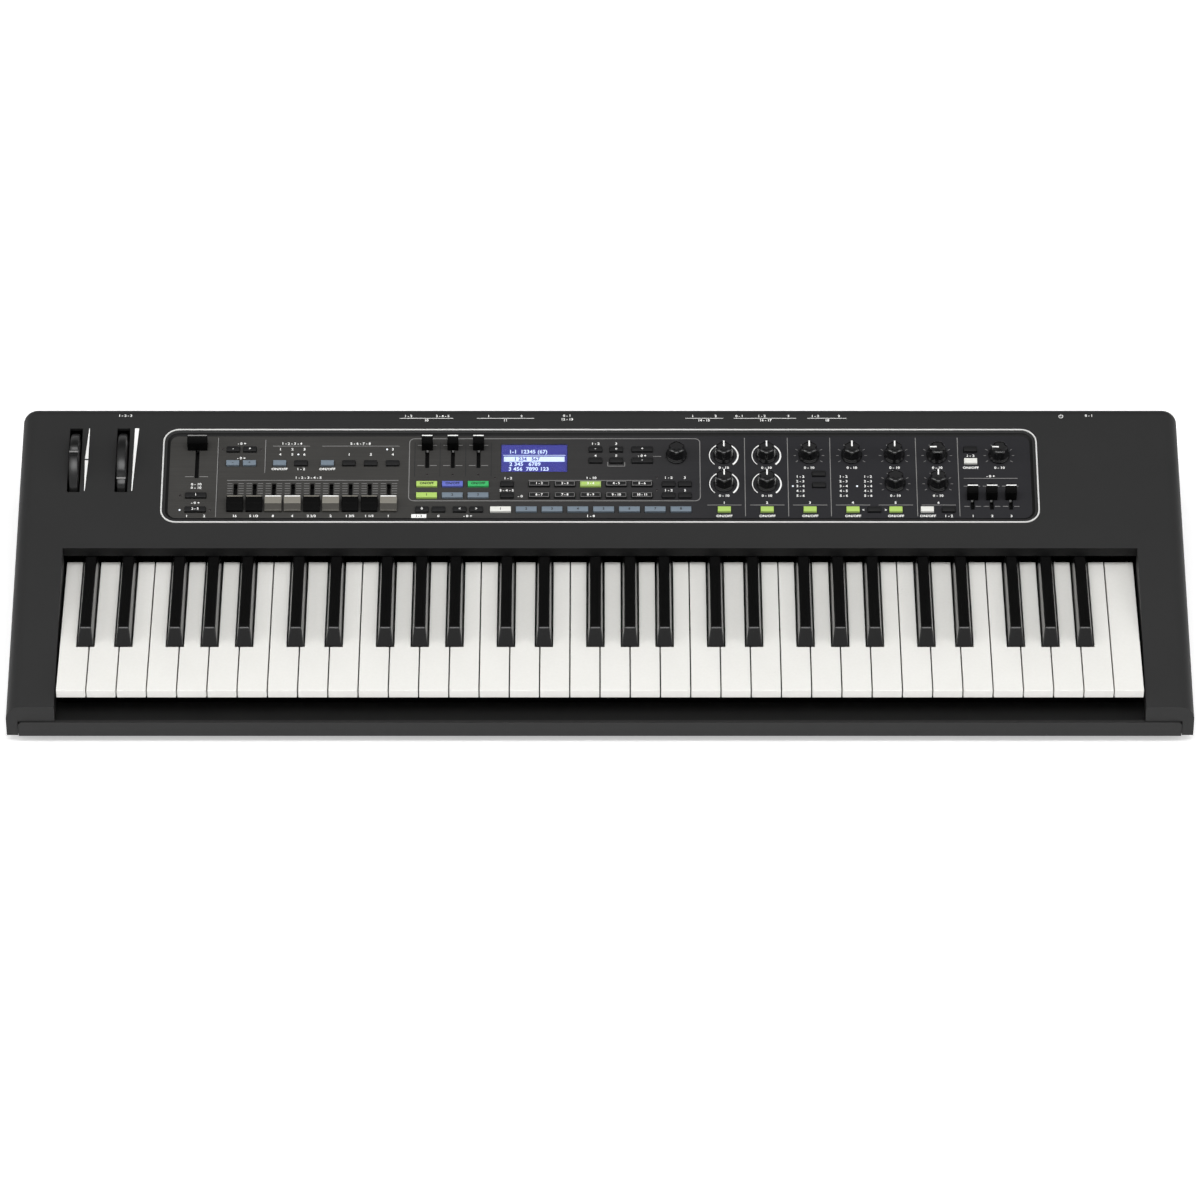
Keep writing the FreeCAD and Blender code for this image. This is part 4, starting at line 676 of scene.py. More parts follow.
def rule(shape, x0, x1, row, width=0.6, rise=-PANEL_SINK, ink=WHITE_INK):
    ribbon(shape, [(x0, row), (x1, row)], width, rise, ink)


def arc_points(x, row, radius, first, last, steps=24):
    """Points of an arc; angles in degrees, anticlockwise from the right."""
    angles = [math.radians(first + (last - first) * i / steps) for i in range(steps + 1)]
    return [(x + radius * math.cos(a), row - radius * math.sin(a)) for a in angles]


FIGURES = {}


def figure_mesh(text):
    """Letter outlines as a mesh about one unit high; each text is made once and kept."""
    if text not in FIGURES:
        letters = bpy.data.curves.new("figure", "FONT")
        letters.body = text
        letters.size = 1.4
        letters.align_x, letters.align_y = "CENTER", "CENTER"
        letters.extrude = 0.03
        letters.offset = 0.035
        letters.resolution_u = 2
        FIGURES[text] = applied(working("figure", letters))
    return FIGURES[text]


def figure(shape, text, x, row, height=2.2, rise=-PANEL_SINK, ink=WHITE_INK, stretch=1.0):
    data = figure_mesh(text).copy()
    data.polygons.foreach_set("material_index", [ink] * len(data.polygons))
    spread = Matrix.Diagonal((height * stretch * MM, height * MM, MM, 1))
    data.transform(slope_matrix(x, row, rise + 0.05) @ spread)
    shape.from_mesh(data)
    bpy.data.meshes.remove(data)


lamp_off = finish_material("lamp_off", srgb(26, 22, 22), srgb(40, 34, 34), 0.25)
lamp_on = finish_material("lamp_on", srgb(225, 232, 240), srgb(246, 250, 255), 0.3, glow=0.5)
INKS = (white_ink_and_highlight, grey_ink_and_glint, ink_black, lamp_off, lamp_on)
print("ink finishes:", len(INKS))

# %% [markdown]
# A white key is a wide head in front and a narrow tail between the black keys, with a thin lip that
# hangs over its front. All the keys of one note name share a shape, an octave apart, so one is drawn
# and Geometry Nodes sets it along the keyboard. Behind the edge of the top it goes on as a lever.

# %% Sizes of the keys
OCTAVE = 165.0
WHITE_PITCH = OCTAVE / 7
KEYS_LEFT = -(5 * OCTAVE + WHITE_PITCH) / 2
KEY_FRONT, KEY_BACK, KEY_TOP = -135.4, 12.3, 49.5
HEAD_BACK = KEY_FRONT + 49.6
LIP, SIDE_WALL_BOTTOM = 7.7, KEY_TOP - 14
SHARP_FRONT, SHARP_TOP = KEY_FRONT + 50.5, KEY_TOP + 11.5
SHARP_HALF, SHARP_TOP_HALF = 6.4, 4.3
SHARP_SHIFT = {0: -3.1, 1: 3.1, 3: -3.6, 4: 0.0, 5: 3.6}  # from the joint between two white keys
LEVER_END, LEVER_HALF, LEVER_DROP = 58.0, 4.5, (16.0, 4.0)
LETTERS = "cdefgab"


def sharp_middle(index):
    return (index + 1) * WHITE_PITCH + SHARP_SHIFT[index]


def tail_edges(index, full):
    left, right = index * WHITE_PITCH + 0.5, (index + 1) * WHITE_PITCH - 0.5
    if not full and index - 1 in SHARP_SHIFT:
        left = sharp_middle(index - 1) + SHARP_HALF + 0.8
    if not full and index in SHARP_SHIFT:
        right = sharp_middle(index) - SHARP_HALF - 0.8
    return left, right


def key_lever(shape, middle):
    block(shape, middle - LEVER_HALF, middle + LEVER_HALF, KEY_BACK - 1, LEVER_END, KEY_TOP - LEVER_DROP[0],
          KEY_TOP - LEVER_DROP[1])


def white_key(index, full=False):
    """One white key, its octave starting at x = 0."""
    head_left, head_right = index * WHITE_PITCH + 0.5, (index + 1) * WHITE_PITCH - 0.5
    left, right = tail_edges(index, full)

    def outline(front, inset):
        right_step = [(right - inset, HEAD_BACK)] if right < head_right else []
        left_step = [(left + inset, HEAD_BACK)] if left > head_left else []
        points = [(head_left + inset, front), (head_right - inset, front), (head_right - inset, HEAD_BACK)]
        points += right_step + [(right - inset, KEY_BACK), (left + inset, KEY_BACK)] + left_step
        return points + [(head_left + inset, HEAD_BACK)]

    def draw(shape):
        prism(shape, outline(KEY_FRONT, 0), KEY_TOP - LIP, KEY_TOP)
        prism(shape, outline(KEY_FRONT + 8, 0.25), SIDE_WALL_BOTTOM, KEY_TOP - LIP + 0.5)

    return mesh_from(draw, "white_key", bevel=0.55, segments=3)


def black_key(index):
    """A tapered bar with a sloping front and well rounded top edges."""
    middle = sharp_middle(index)

    def draw(shape):
        rings = []
        for z, front, half in ((SIDE_WALL_BOTTOM, SHARP_FRONT, SHARP_HALF),
                               (KEY_TOP, SHARP_FRONT, SHARP_HALF),
                               (SHARP_TOP, SHARP_FRONT + 9.4, SHARP_TOP_HALF)):
            corners = [(middle - half, front), (middle + half, front), (middle + half, KEY_BACK),
                       (middle - half, KEY_BACK)]
            rings.append([shape.verts.new(Vector((x, y, z)) * MM) for x, y in corners])
        shape.faces.new(list(reversed(rings[0])))
        shape.faces.new(rings[2])
        for low, high in zip(rings, rings[1:]):
            for i in range(4):
                shape.faces.new((low[i], low[(i + 1) % 4], high[(i + 1) % 4], high[i]))

    return mesh_from(draw, "black_key", bevel=1.5, segments=4)


def row_of_keys(data, material, count=5):
    thing = working("key_row", data)
    thing.data.transform(Matrix.Translation((KEYS_LEFT * MM, 0, 0)))
    grow(thing, COPY_LINE, Count=count, Step=(OCTAVE * MM, 0, 0), Material=material)
    row = applied(thing)
    row.polygons.foreach_set("material_index", [0] * len(row.polygons))
    return row


def add_to(data, more):
    """Joins a second mesh to the first."""
    shape = bmesh.new()
    shape.from_mesh(data)
    shape.from_mesh(more)
    shape.to_mesh(data)
    shape.free()
    return data


def top_c():
    """The last C has no black key beside it, so its tail is as wide as its head."""
    last = white_key(0, full=True)
    last.transform(Matrix.Translation(((KEYS_LEFT + 5 * OCTAVE) * MM, 0, 0)))
    return last


def levers(middles):
    """The levers behind the keys, which lie in the shade under the edge of the top. They are dark: on the
    white keys, painted shade.
    """
    def draw(shape):
        for middle in middles:
            key_lever(shape, KEYS_LEFT + middle)

    data = mesh_from(draw, "levers")
    data.polygons.foreach_set("material_index", [1] * len(data.polygons))
    return data


def every_octave(middle):
    return [middle + octave * OCTAVE for octave in range(5)]


for index, letter in enumerate(LETTERS):
    whites = row_of_keys(white_key(index), white_resin)
    middles = every_octave(sum(tail_edges(index, False)) / 2)
    if letter == "c":
        whites = add_to(whites, top_c())
        middles.append(5 * OCTAVE + WHITE_PITCH / 2)
    # The white keys' levers take the dark finish as painted shade under the edge of the top.
    settle(f"white_{letter}_keys", paint(add_to(whites, levers(middles)), white_resin, dark_plastic),
           f"{letter}_keys_body", [f"{letter}_keys"], angle=40)
    if index in SHARP_SHIFT:
        blacks = add_to(row_of_keys(black_key(index), black_resin), levers(every_octave(sharp_middle(index))))
        settle(f"black_{letter}_keys", paint(blacks, black_resin, dark_plastic), f"{letter}_sharp_keys_body",
               [f"{letter}_sharp_keys"], angle=40)
print("keys from x =", round(KEYS_LEFT), "to", round(-KEYS_LEFT), "mm")

# %% [markdown]
# The knobs are all alike: a low round skirt, a fluted grip that narrows a little and a dished top. All
# but the data dial and the effect type knob have a white pointer that runs from near the middle out to
# the edge, each at its own angle. Fluting is only a radius that swings in and out as the turned form
# goes round.

# %% Knobs
KNOB_FLUTES = 6
KNOB_PROFILE = [(0, -8.0), (3.0, -8.0), (3.0, -1.6), (8.3, -1.6), (8.55, -1.3), (8.55, -0.3), (8.2, 0.3),
                (7.6, 0.9), (7.2, 1.8), (6.8, 8.4), (6.6, 9.2), (6.1, 9.8), (5.2, 10.15), (4.2, 10.1),
                (0, 9.7)]


def flute(angle, z):
    """Six shallow scallops round the grip, deepest at its top, with a lobe under the pointer."""
    depth = 0.14 * min(1.0, max(0.0, (z - 1.2) / 5.0))
    return 1 - depth * (0.5 + 0.5 * math.cos(KNOB_FLUTES * angle))


def knob_piece(name, body, node, place, pointer=0.0, line=True):
    turned = place @ Matrix.Rotation(math.radians(-pointer), 4, "Z")

    def draw(shape):
        lathe(shape, KNOB_PROFILE, 96, turned, flute)
        first_line_face = len(shape.faces)
        if line:
            block(shape, -0.55, 0.55, 0.6, 6.0, 9.6, 10.28, turned)
        colour_from(shape, first_line_face)

    return settle(name, paint(mesh_from(draw), knob_plastic, white_ink_and_highlight), body, [node],
                  angle=30)


def slope_spot(node):
    """X and row of the middle of a node, from its box in the frame."""
    low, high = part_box(node)
    flat = slope_matrix().inverted() @ ((Vector(low) + Vector(high)) / 2)
    return flat.x / MM, -flat.y / MM


KNOB_POINTERS = {
    "filter_cutoff_knob": 0, "filter_resonance_knob": 0, "attack_knob": 0, "release_knob": 0, "drive_knob": 0,
    "effect_one_knob": 0, "effect_two_knob": 0, "effect_type_knob": 0, "delay_level_knob": -90,
    "delay_time_knob": 0, "reverb_knob": -90, "data_dial": 0,
}
knob_spots = {}
for name, pointer in KNOB_POINTERS.items():
    x, row = slope_spot(name)
    knob_spots[name] = (x, row)
    knob_piece(f"{name}_grip", f"{name}_body", name, slope_matrix(x, row), pointer,
               line=name not in ("data_dial", "effect_type_knob"))
print("knobs at", {name: (round(x, 1), round(row, 1)) for name, (x, row) in list(knob_spots.items())[:3]})

# %% [markdown]
# The wheels are satin discs on axles. A shallow finger notch crosses each rim, and a grey line across
# it is a painted glint. The pitch wheel's notch is centred because a spring returns it; the other's
# leans towards the player.

# %% Wheels
WHEEL_RADIUS, NOTCH_REACH = 32.0, 6.5


def wheel_piece(name, node, lean):
    low, high = (Vector(corner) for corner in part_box(node))
    middle = (low + high) / 2
    middle.z = low.z + WHEEL_RADIUS * MM
    axle_turn = Matrix.Translation(middle) @ Matrix.Rotation(math.radians(90), 4, "Y")
    at = math.radians(180 + lean)

    def notch(angle, z):
        away = abs((angle - at + math.pi) % (2 * math.pi) - math.pi) * WHEEL_RADIUS
        return 1 - 0.06 * (0.5 + 0.5 * math.cos(math.pi * away / NOTCH_REACH)) if away < NOTCH_REACH else 1.0

    profile = [(0, -4.0), (27.0, -4.0), (27.6, -3.5), (30.6, -3.5), (31.6, -3.0), (32.0, -1.8), (32.0, 1.8),
               (31.6, 3.0), (30.6, 3.5), (27.6, 3.5), (27.0, 4.0), (0, 4.0)]

    def draw(shape):
        lathe(shape, profile, 240, axle_turn, notch)
        count = len(shape.faces)
        # A grey strip across the notch: a painted glint.
        notch_glint = axle_turn @ Matrix.Rotation(at, 4, "Z")
        block(shape, 29.6, 30.5, -0.6, 0.6, -3.6, 3.6, notch_glint)
        colour_from(shape, count)

    settle(name, paint(mesh_from(draw), wheel_plastic, grey_ink_and_glint), f"{node}_body", [node])
    return middle


print("pitch wheel at", wheel_piece("pitch_disc", "pitch_wheel", 12.6))
print("modulation wheel at", wheel_piece("modulation_disc", "modulation_wheel", 54.6))

# %% [markdown]
# Slider caps are small blocks with a hollow for the fingertip and a light line across the top. The
# nine drawbars have wider caps with a sloping front, some dark and some light. The light line at the
# back of each drawbar cap is a painted highlight, and the fronts of the light caps are a darker grey
# that is painted shade. Each cap is a side outline drawn once and extruded across.

# %% Slider caps and drawbars
# an outline in (y, z), extruded along x
SIDEWAYS = Matrix(((0, 0, 1, 0), (1, 0, 0, 0), (0, 1, 0, 0), (0, 0, 0, 1)))


def islands(node):
    """(x, row, width, length) of each separate solid of a node, measured in the plane of the top."""
    flat = slope_matrix().inverted()
    shape = bmesh.new()
    shape.from_mesh(nodes[node].data)
    bmesh.ops.remove_doubles(shape, verts=shape.verts, dist=1e-6)
    unseen, found = set(shape.verts), []
    while unseen:
        stack, members = [unseen.pop()], []
        while stack:
            vert = stack.pop()
            members.append(flat @ vert.co)
            near = {e.other_vert(vert) for e in vert.link_edges} & unseen
            unseen -= near
            stack += near
        xs, ys = [v.x / MM for v in members], [-v.y / MM for v in members]
        found.append(((min(xs) + max(xs)) / 2, (min(ys) + max(ys)) / 2, max(xs) - min(xs), max(ys) - min(ys)))
    shape.free()
    return sorted(found, key=lambda spot: (round(spot[1] / 4), spot[0]))


def slider_cap(shape, width, place):
    side = [(-4.0, -1.5), (4.0, -1.5), (3.7, 8.9), (3.4, 9.4), (2.4, 9.4), (1.2, 8.5), (-2.4, 8.2),
            (-3.3, 8.6), (-3.7, 8.0)]
    prism(shape, side, -width / 2, width / 2, place @ SIDEWAYS)


def slider_set(name, node, body, top_line_material):
    spots = islands(node)

    def draw(shape):
        for x, row, width, _ in spots:
            slider_cap(shape, width, slope_matrix(x, row))

    data = mesh_from(draw, bevel=0.35)
    shape = bmesh.new()
    shape.from_mesh(data)
    count = len(shape.faces)
    for x, row, width, _ in spots:
        block(shape, -width / 2 + 0.3, width / 2 - 0.3, 2.55, 3.5, 9.3, 9.48, slope_matrix(x, row))
        block(shape, -0.8, 0.8, -1.2, 1.2, -8.0, -1.4, slope_matrix(x, row))
    colour_from(shape, count)
    shape.to_mesh(data)
    shape.free()
    settle(name, paint(data, cap_black, top_line_material), body, [node], angle=30)
    return spots


print("master volume:", slider_set("master_volume_cap", "master_volume_slider", "master_volume_body",
                                   grey_ink_and_glint))
slider_set("part_volume_caps", "part_volume_sliders", "part_volume_body", white_ink_and_highlight)
slider_set("tone_caps", "tone_sliders", "tone_body", white_ink_and_highlight)


def drawbar_caps(name, spots, material, highlight_material, front_shade_material, replaced=()):
    """Caps with a nearly flat top, a painted highlight line at the back and a sloping face to the player,
    painted darker as shade on the light caps.
    """
    side = [(-6.2, -1.5), (6.3, -1.5), (6.1, 4.0), (5.5, 4.6), (-1.4, 4.2), (-5.6, 0.6), (-6.2, 0.3)]
    line = [(4.6, 4.5), (5.7, 4.5), (5.5, 4.75), (4.8, 4.75)]

    def draw(shape):
        for x, row, width, _ in spots:
            prism(shape, side, -width / 2, width / 2, slope_matrix(x, row) @ SIDEWAYS)
            block(shape, -0.8, 0.8, -1.2, 1.2, -8.0, -1.4, slope_matrix(x, row))

    # A light strip along the back of each cap top: a painted highlight.
    def draw_highlight_lines(shape):
        for x, row, width, _ in spots:
            prism(shape, line, -width / 2 + 0.5, width / 2 - 0.5, slope_matrix(x, row) @ SIDEWAYS)

    lines = mesh_from(draw_highlight_lines, "lines")
    lines.polygons.foreach_set("material_index", [1] * len(lines.polygons))
    caps = mesh_from(draw, bevel=0.4, segments=3)
    # Faces turned to the player take the front finish, a painted shade on the light caps.
    away = slope_matrix().to_3x3().inverted()
    for polygon in caps.polygons:
        if (away @ polygon.normal).y < -0.45:
            polygon.material_index = 2
    settle(name, paint(add_to(caps, lines), material, highlight_material, front_shade_material), "drawbars_body",
           replaced, angle=30)


drawbar_spots = islands("drawbars")
DARK_DRAWBARS = (0, 1, 4, 6, 7)
drawbar_caps("dark_drawbar_caps", [drawbar_spots[i] for i in DARK_DRAWBARS], cap_black, drawbar_grey_and_highlight,
             cap_black, ["drawbars"])
drawbar_caps("light_drawbar_caps", [s for i, s in enumerate(drawbar_spots) if i not in DARK_DRAWBARS],
             drawbar_grey_and_highlight, white_ink_and_highlight, drawbar_painted_shade)
print("drawbars:", len(drawbar_spots))

# %% [markdown]
# Push buttons are small soft-edged blocks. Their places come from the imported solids, read in order
# from the back row to the front and left to right, and a list in the same order gives each its tint.

# %% Push buttons
BLACK, SLATE, LIME = srgb(17, 17, 18), srgb(118, 131, 143), srgb(172, 204, 104)
VIOLET, LEAF, WHITE = srgb(98, 108, 190), srgb(58, 176, 100), srgb(228, 228, 222)
BUTTON_TINTS = {
    "organ_buttons": [BLACK, BLACK, SLATE, SLATE, SLATE, BLACK, SLATE] + [BLACK] * 5,
    "part_buttons": [LIME, VIOLET, LEAF, LIME, SLATE, SLATE],
    "sound_buttons": [BLACK] * 9 + [LIME] + [BLACK] * 12,
    "live_set_buttons": [BLACK] * 4 + [WHITE] + [SLATE] * 7,
    "effect_buttons": [BLACK, WHITE, BLACK, BLACK] + [LIME] * 4 + [BLACK, LIME, WHITE, BLACK],
}
LIT = {LIME: 0.12, VIOLET: 0.12, LEAF: 0.12, WHITE: 0.1}
CATEGORIES = tuple(range(7, 12)) + tuple(range(15, 20))
BUTTON_FIGURES = {
    "organ_buttons": {0: ("-", WHITE_INK), 1: ("+", WHITE_INK), 2: ("-", DARK_INK), 3: ("+", DARK_INK),
                      10: ("1", WHITE_INK), 11: ("2 - 3", WHITE_INK)},
    "part_buttons": {i: (text, DARK_INK) for i, text in enumerate(("ON/OFF",) * 3 + ("1", "2", "3"))},
    "sound_buttons": {i: (f"{n + 1} - {n + 2}", WHITE_INK) for n, i in enumerate(CATEGORIES)},
    "live_set_buttons": {i: (str(i - 3), DARK_INK) for i in range(4, 12)},
    "effect_buttons": {},
}
BUTTON_FIGURES["sound_buttons"].update({
    i: (text, WHITE_INK) for i, text in ((0, "-"), (1, "o"), (2, "+"), (5, "-"))})
BUTTON_FIGURES["live_set_buttons"].update({0: ("0", WHITE_INK), 2: ("<", WHITE_INK), 3: (">", WHITE_INK)})


def frame_line(shape, x, row, half_width, half_length):
    corners = [(x - half_width, row - half_length), (x + half_width, row - half_length),
               (x + half_width, row + half_length), (x - half_width, row + half_length)]
    ribbon(shape, corners, 0.3, -0.05, GREY_INK, closed=True)


def button_marks(node, spots):
    """Figures on the caps, and light frames on the category buttons; they move with the caps."""
    def draw(shape):
        for i, (text, ink) in BUTTON_FIGURES[node].items():
            x, row, width, length = spots[i]
            figure(shape, text, x, row, 2.2, -0.03, ink)
            if node == "sound_buttons" and i in CATEGORIES:
                frame_line(shape, x, row, width / 2 - 1.4, length / 2 - 1.3)

    data = mesh_from(draw, "marks")
    data.polygons.foreach_set("material_index", [polygon.material_index + 1 for polygon in data.polygons])
    return data


def button_set(node):
    spots = islands(node)
    shape = bmesh.new()
    tint = shape.loops.layers.float_color.new("tint")
    glow = shape.loops.layers.float.new("glow")
    for (x, row, width, length), colour in zip(spots, BUTTON_TINTS[node]):
        half_width, half_length, place = width / 2 - 0.7, length / 2 - 0.7, slope_matrix(x, row)
        data = mesh_from(lambda s: block(s, -half_width, half_width, -half_length, half_length, -4.3, -0.05,
                                         place), bevel=0.4, segments=3)
        first = len(shape.faces)
        shape.from_mesh(data)
        shape.faces.ensure_lookup_table()
        for face in shape.faces[first:]:
            for corner in face.loops:
                corner[tint] = colour
                corner[glow] = LIT.get(colour, 0.0)
    if BUTTON_FIGURES[node]:
        shape.from_mesh(button_marks(node, spots))
    data = bpy.data.meshes.new(node)
    shape.to_mesh(data)
    shape.free()
    settle(f"{node}_caps", paint(data, button_plastic, *INKS), f"{node}_body", [node],
           angle=30)
    return spots


button_spots = {node: button_set(node) for node in BUTTON_TINTS}
print("buttons:", {node: len(spots) for node, spots in button_spots.items()})
for node, spots in button_spots.items():
    print(node, [(round(x), round(row)) for x, row, _, _ in spots])

# %% [markdown]
# The panel is divided into sections by light rules from back to front, and the part section sits in a
# round-cornered frame. Short cross rules mark the ends of each slider's travel, and fine dashes between
# the drawbars show how far each one is drawn. The words of a real panel are left as plain numbers.

# %% Rules on the panel
SECTION_RULES = [(-306.0, 31.4, 109.1), (-268.0, 33.4, 65.9)]
SECTION_RULES += [(x, 31.4, 108.4) for x in (115.8, 150.2, 184.2, 252.9, 286.5)]
DRAWBAR_X = [x for x, *_ in drawbar_spots]
PART_X, TONE_X = (-138.3, -117.8, -97.3), (296.9, 312.2, 327.5)
EFFECT_X = [99.0 + 34.15 * i for i in range(6)]
PART_FRAME = (-36.3, 62.8, 116.3, 30.5, 4.0)  # middle x and row, half width, half length, radius


def section_rules(shape):
    for x, first, last in SECTION_RULES:
        ribbon(shape, [(x, first), (x, last)], 0.55, -PANEL_SINK, GREY_INK)
        ribbon(shape, [(x + 0.55, first), (x + 0.55, last)], 0.4, -PANEL_SINK, DARK_INK)
    x, row, half_width, half_length, radius = PART_FRAME
    loop = [(x + dx, row - dy) for dx, dy in round_loop(half_width, half_length, radius)]
    ribbon(shape, loop, 0.6, -PANEL_SINK, GREY_INK, closed=True)
    for x in (-148.2, -128.0, -107.5, -87.0):
        ribbon(shape, [(x, 36.0), (x, 69.5)], 0.5, -PANEL_SINK, DARK_INK)


def title_rules(shape):
    for x0, x1, row in ((-262, -232.6, 39.6), (-222.6, -160.6, 39.6), (-298, -161, 73.3), (-57, 41.5, 73.3),
                        (290.6, 333.6, 71.3), (42.5, 49.0, 49.7)):
        rule(shape, x0, x1, row, 0.5, ink=GREY_INK)
    for x in EFFECT_X:
        rule(shape, x - 13.5, x + 13.8, 97.4, 0.5, ink=GREY_INK)


def travel_marks(shape):
    for columns, rows, reach in (((-322.4,), (69.7,), 9.3), (PART_X, (38.8, 58.7), 7.7),
                                 (TONE_X, (79.0, 98.7), 6.6)):
        for x in columns:
            for row in rows:
                rule(shape, x - reach, x - 2.3, row, 0.5, ink=GREY_INK)
                rule(shape, x + 2.3, x + reach, row, 0.5, ink=GREY_INK)
    for x in DRAWBAR_X:
        for step in range(6):
            row = 76.4 + 2.4 * step
            rule(shape, x - 6.6, x - 2.4, row, 0.4, ink=GREY_INK)
            rule(shape, x + 2.4, x + 6.6, row, 0.4, ink=GREY_INK)


def dial_marks(shape):
    """Sweeps round the first two columns of knobs, and ticks round the others."""
    mark = mesh_from(lambda s: block(s, 10.3, 12.3, -0.22, 0.22, INK_BOTTOM, INK_TOP), "tick")
    tick = working("tick", mark)
    grow(tick, COPY_RING, Count=9, First=math.radians(-30), Step=math.radians(30), Material=grey_ink_and_glint)
    ticks = applied(tick)
    ticks.polygons.foreach_set("material_index", [GREY_INK] * len(ticks.polygons))
    for name, (x, row) in knob_spots.items():
        if name == "data_dial":
            continue
        if x < 140:
            thick = [0.5 + 0.9 * i / 36 for i in range(37)]
            ribbon(shape, arc_points(x, row, 11.4, 230, -50, 36), thick, -PANEL_SINK, WHITE_INK)
        else:
            ring = ticks.copy()
            ring.transform(slope_matrix(x, row, -PANEL_SINK))
            shape.from_mesh(ring)


def bracket(shape):
    ribbon(shape, [(6.2, 55.4), (6.2, 59.3), (19.8, 59.3), (19.8, 55.4)], 0.5, -PANEL_SINK, GREY_INK)


def panel_lines(shape):
    for draw in (section_rules, title_rules, travel_marks, dial_marks, bracket):
        draw(shape)


settle("panel_lines", paint(mesh_from(panel_lines), *INKS), CASE)

# %% [markdown]
# Figures stand beside the controls as they would on the real panel: footages under the drawbars, scale
# ends under the knobs, ON/OFF at the switches and running numbers elsewhere. Small lamps show a state;
# a few are lit.

# %% Figures and lamps on the panel
FOOTAGES = ("16", "5 1/3", "8", "4", "2 2/3", "2", "1 3/5", "1 1/3", "1")
SCALE, BALANCE, SWITCH = "0 - 10", "- 0 +", "ON/OFF"
TITLE_ROW, FOOT_ROW, LIST_ROWS = 37.3, 108.2, (69.7, 74.3, 79.0, 83.7, 88.4)
PANEL_FIGURES = [(text, x, FOOT_ROW) for text, x in zip(FOOTAGES, DRAWBAR_X)]
PANEL_FIGURES += [(BALANCE, -287.1, TITLE_ROW), (BALANCE, -287.1, 51.6), ("1 - 2 - 3 - 4", -247.0, TITLE_ROW),
                  ("5 - 6 - 7 - 8", -192.0, TITLE_ROW), (SWITCH, -256.3, 62.3), ("1 - 2", -239.2, 62.3),
                  (SWITCH, -218.1, 62.3), ("1", -200.9, 47.9), ("2", -183.5, 47.9), ("3", -166.0, 42.9),
                  ("4", -166.0, 47.9), ("1 - 2 - 3 - 4 - 5", -233.0, 70.8), (SCALE, -322.4, 77.2),
                  (SCALE, -322.4, 80.6), (BALANCE, -322.4, 95.4), ("1", -329.0, FOOT_ROW),
                  ("2", -315.0, FOOT_ROW)]
PANEL_FIGURES += [(str(i + 1 + 3 * j), x, row) for j, row in enumerate((42.9, 47.9))
                  for i, x in enumerate((-256.1, -246.4, -236.8))]
PANEL_FIGURES += [("0", -128.6, FOOT_ROW), (BALANCE, -105.2, FOOT_ROW), ("1 - 2", -73.5, 71.3),
                  ("3 - 4 - 5", -74.5, 83.2), ("- 0", -63.6, 88.9), ("1 - 10", -7.0, 71.0),
                  ("1 - 2", -3.6, TITLE_ROW), ("3", 13.0, TITLE_ROW),
                  ("4", -3.6, 49.2), ("5", 13.0, 49.2), (BALANCE, 33.8, 49.2), ("1 - 8", -7.4, FOOT_ROW)]
PANEL_FIGURES += [(text, x, row) for row in (70.8, 83.2) for text, x in (("1 - 2", 54.7), ("3", 67.8))]
PANEL_FIGURES += [(SCALE, x, 61.0) for x in EFFECT_X + [319.5]]
PANEL_FIGURES += [(SCALE, x, 88.4) for x in (EFFECT_X[0], EFFECT_X[1], EFFECT_X[4], EFFECT_X[5])]
PANEL_FIGURES += [(str(i + 1), x, 95.2) for i, x in enumerate(EFFECT_X)]
PANEL_FIGURES += [(SWITCH, x, FOOT_ROW) for x in EFFECT_X[:5] + [261.0]]
PANEL_FIGURES += [(f"{i + 1} - {i + 2}", x, row)
                  for x in (160.0, 194.5, 214.0) for i, row in enumerate(LIST_ROWS)]
PANEL_FIGURES += [("1 - 2", 277.6, FOOT_ROW), ("1 - 2", 296.6, 49.2), (SWITCH, 296.6, 61.0),
                  (BALANCE, 312.2, 69.3)]
PANEL_FIGURES += [(str(i + 1), x, FOOT_ROW) for i, x in enumerate(TONE_X)]
LAMPS_OFF = [(-302.0, 43.0), (-271.5, 43.0), (-334.8, 88.4), (-310.9, 102.3), (-84.0, 71.3), (45.4, 70.8),
             (45.4, 83.2)]
LAMPS_OFF += [(x, 68.0) for x in PART_X]
LAMPS_ON = [(-334.8, 102.3), (-241.6, 47.9), (-170.6, 42.9), (153.9, 79.0), (205.2, 79.0)]


def lamp(shape, x, row, ink, radius):
    first = len(shape.faces)
    lathe(shape, [(0, -0.2), (radius, -0.2), (radius, 0.25), (radius * 0.7, 0.45), (0, 0.5)], 16,
          slope_matrix(x, row, -PANEL_SINK))
    colour_from(shape, first, ink)


def panel_figures(shape):
    for text, x, row in PANEL_FIGURES:
        figure(shape, text, x, row, stretch=1.15)
    for x, row in LAMPS_OFF:
        lamp(shape, x, row, LAMP_OFF, 0.9)
    for x, row in LAMPS_ON:
        lamp(shape, x, row, LAMP_ON, 0.75)
    block(shape, -150.2, -138.2, -109.9, -106.4, INK_BOTTOM, INK_TOP, slope_matrix(0, 0, -PANEL_SINK))
    figure(shape, "1 - 2", -144.2, FOOT_ROW, 2.0, -PANEL_SINK + 0.1, DARK_INK)
    for text, x in (("<", 209.7), (">", 227.6)):
        figure(shape, text, x, 102.3, 2.4)


settle("panel_figures", paint(mesh_from(panel_figures), *INKS), CASE)
print("panel figures:", len(PANEL_FIGURES))

# %% [markdown]
# On the case itself, white tapers beside the wheels show which way they act: the pitch wheel rests in
# the middle, so its mark swells to the centre; the modulation wheel starts at the near end, so its mark
# grows away from the player. Numbers along the back edge tell the player which socket is below.

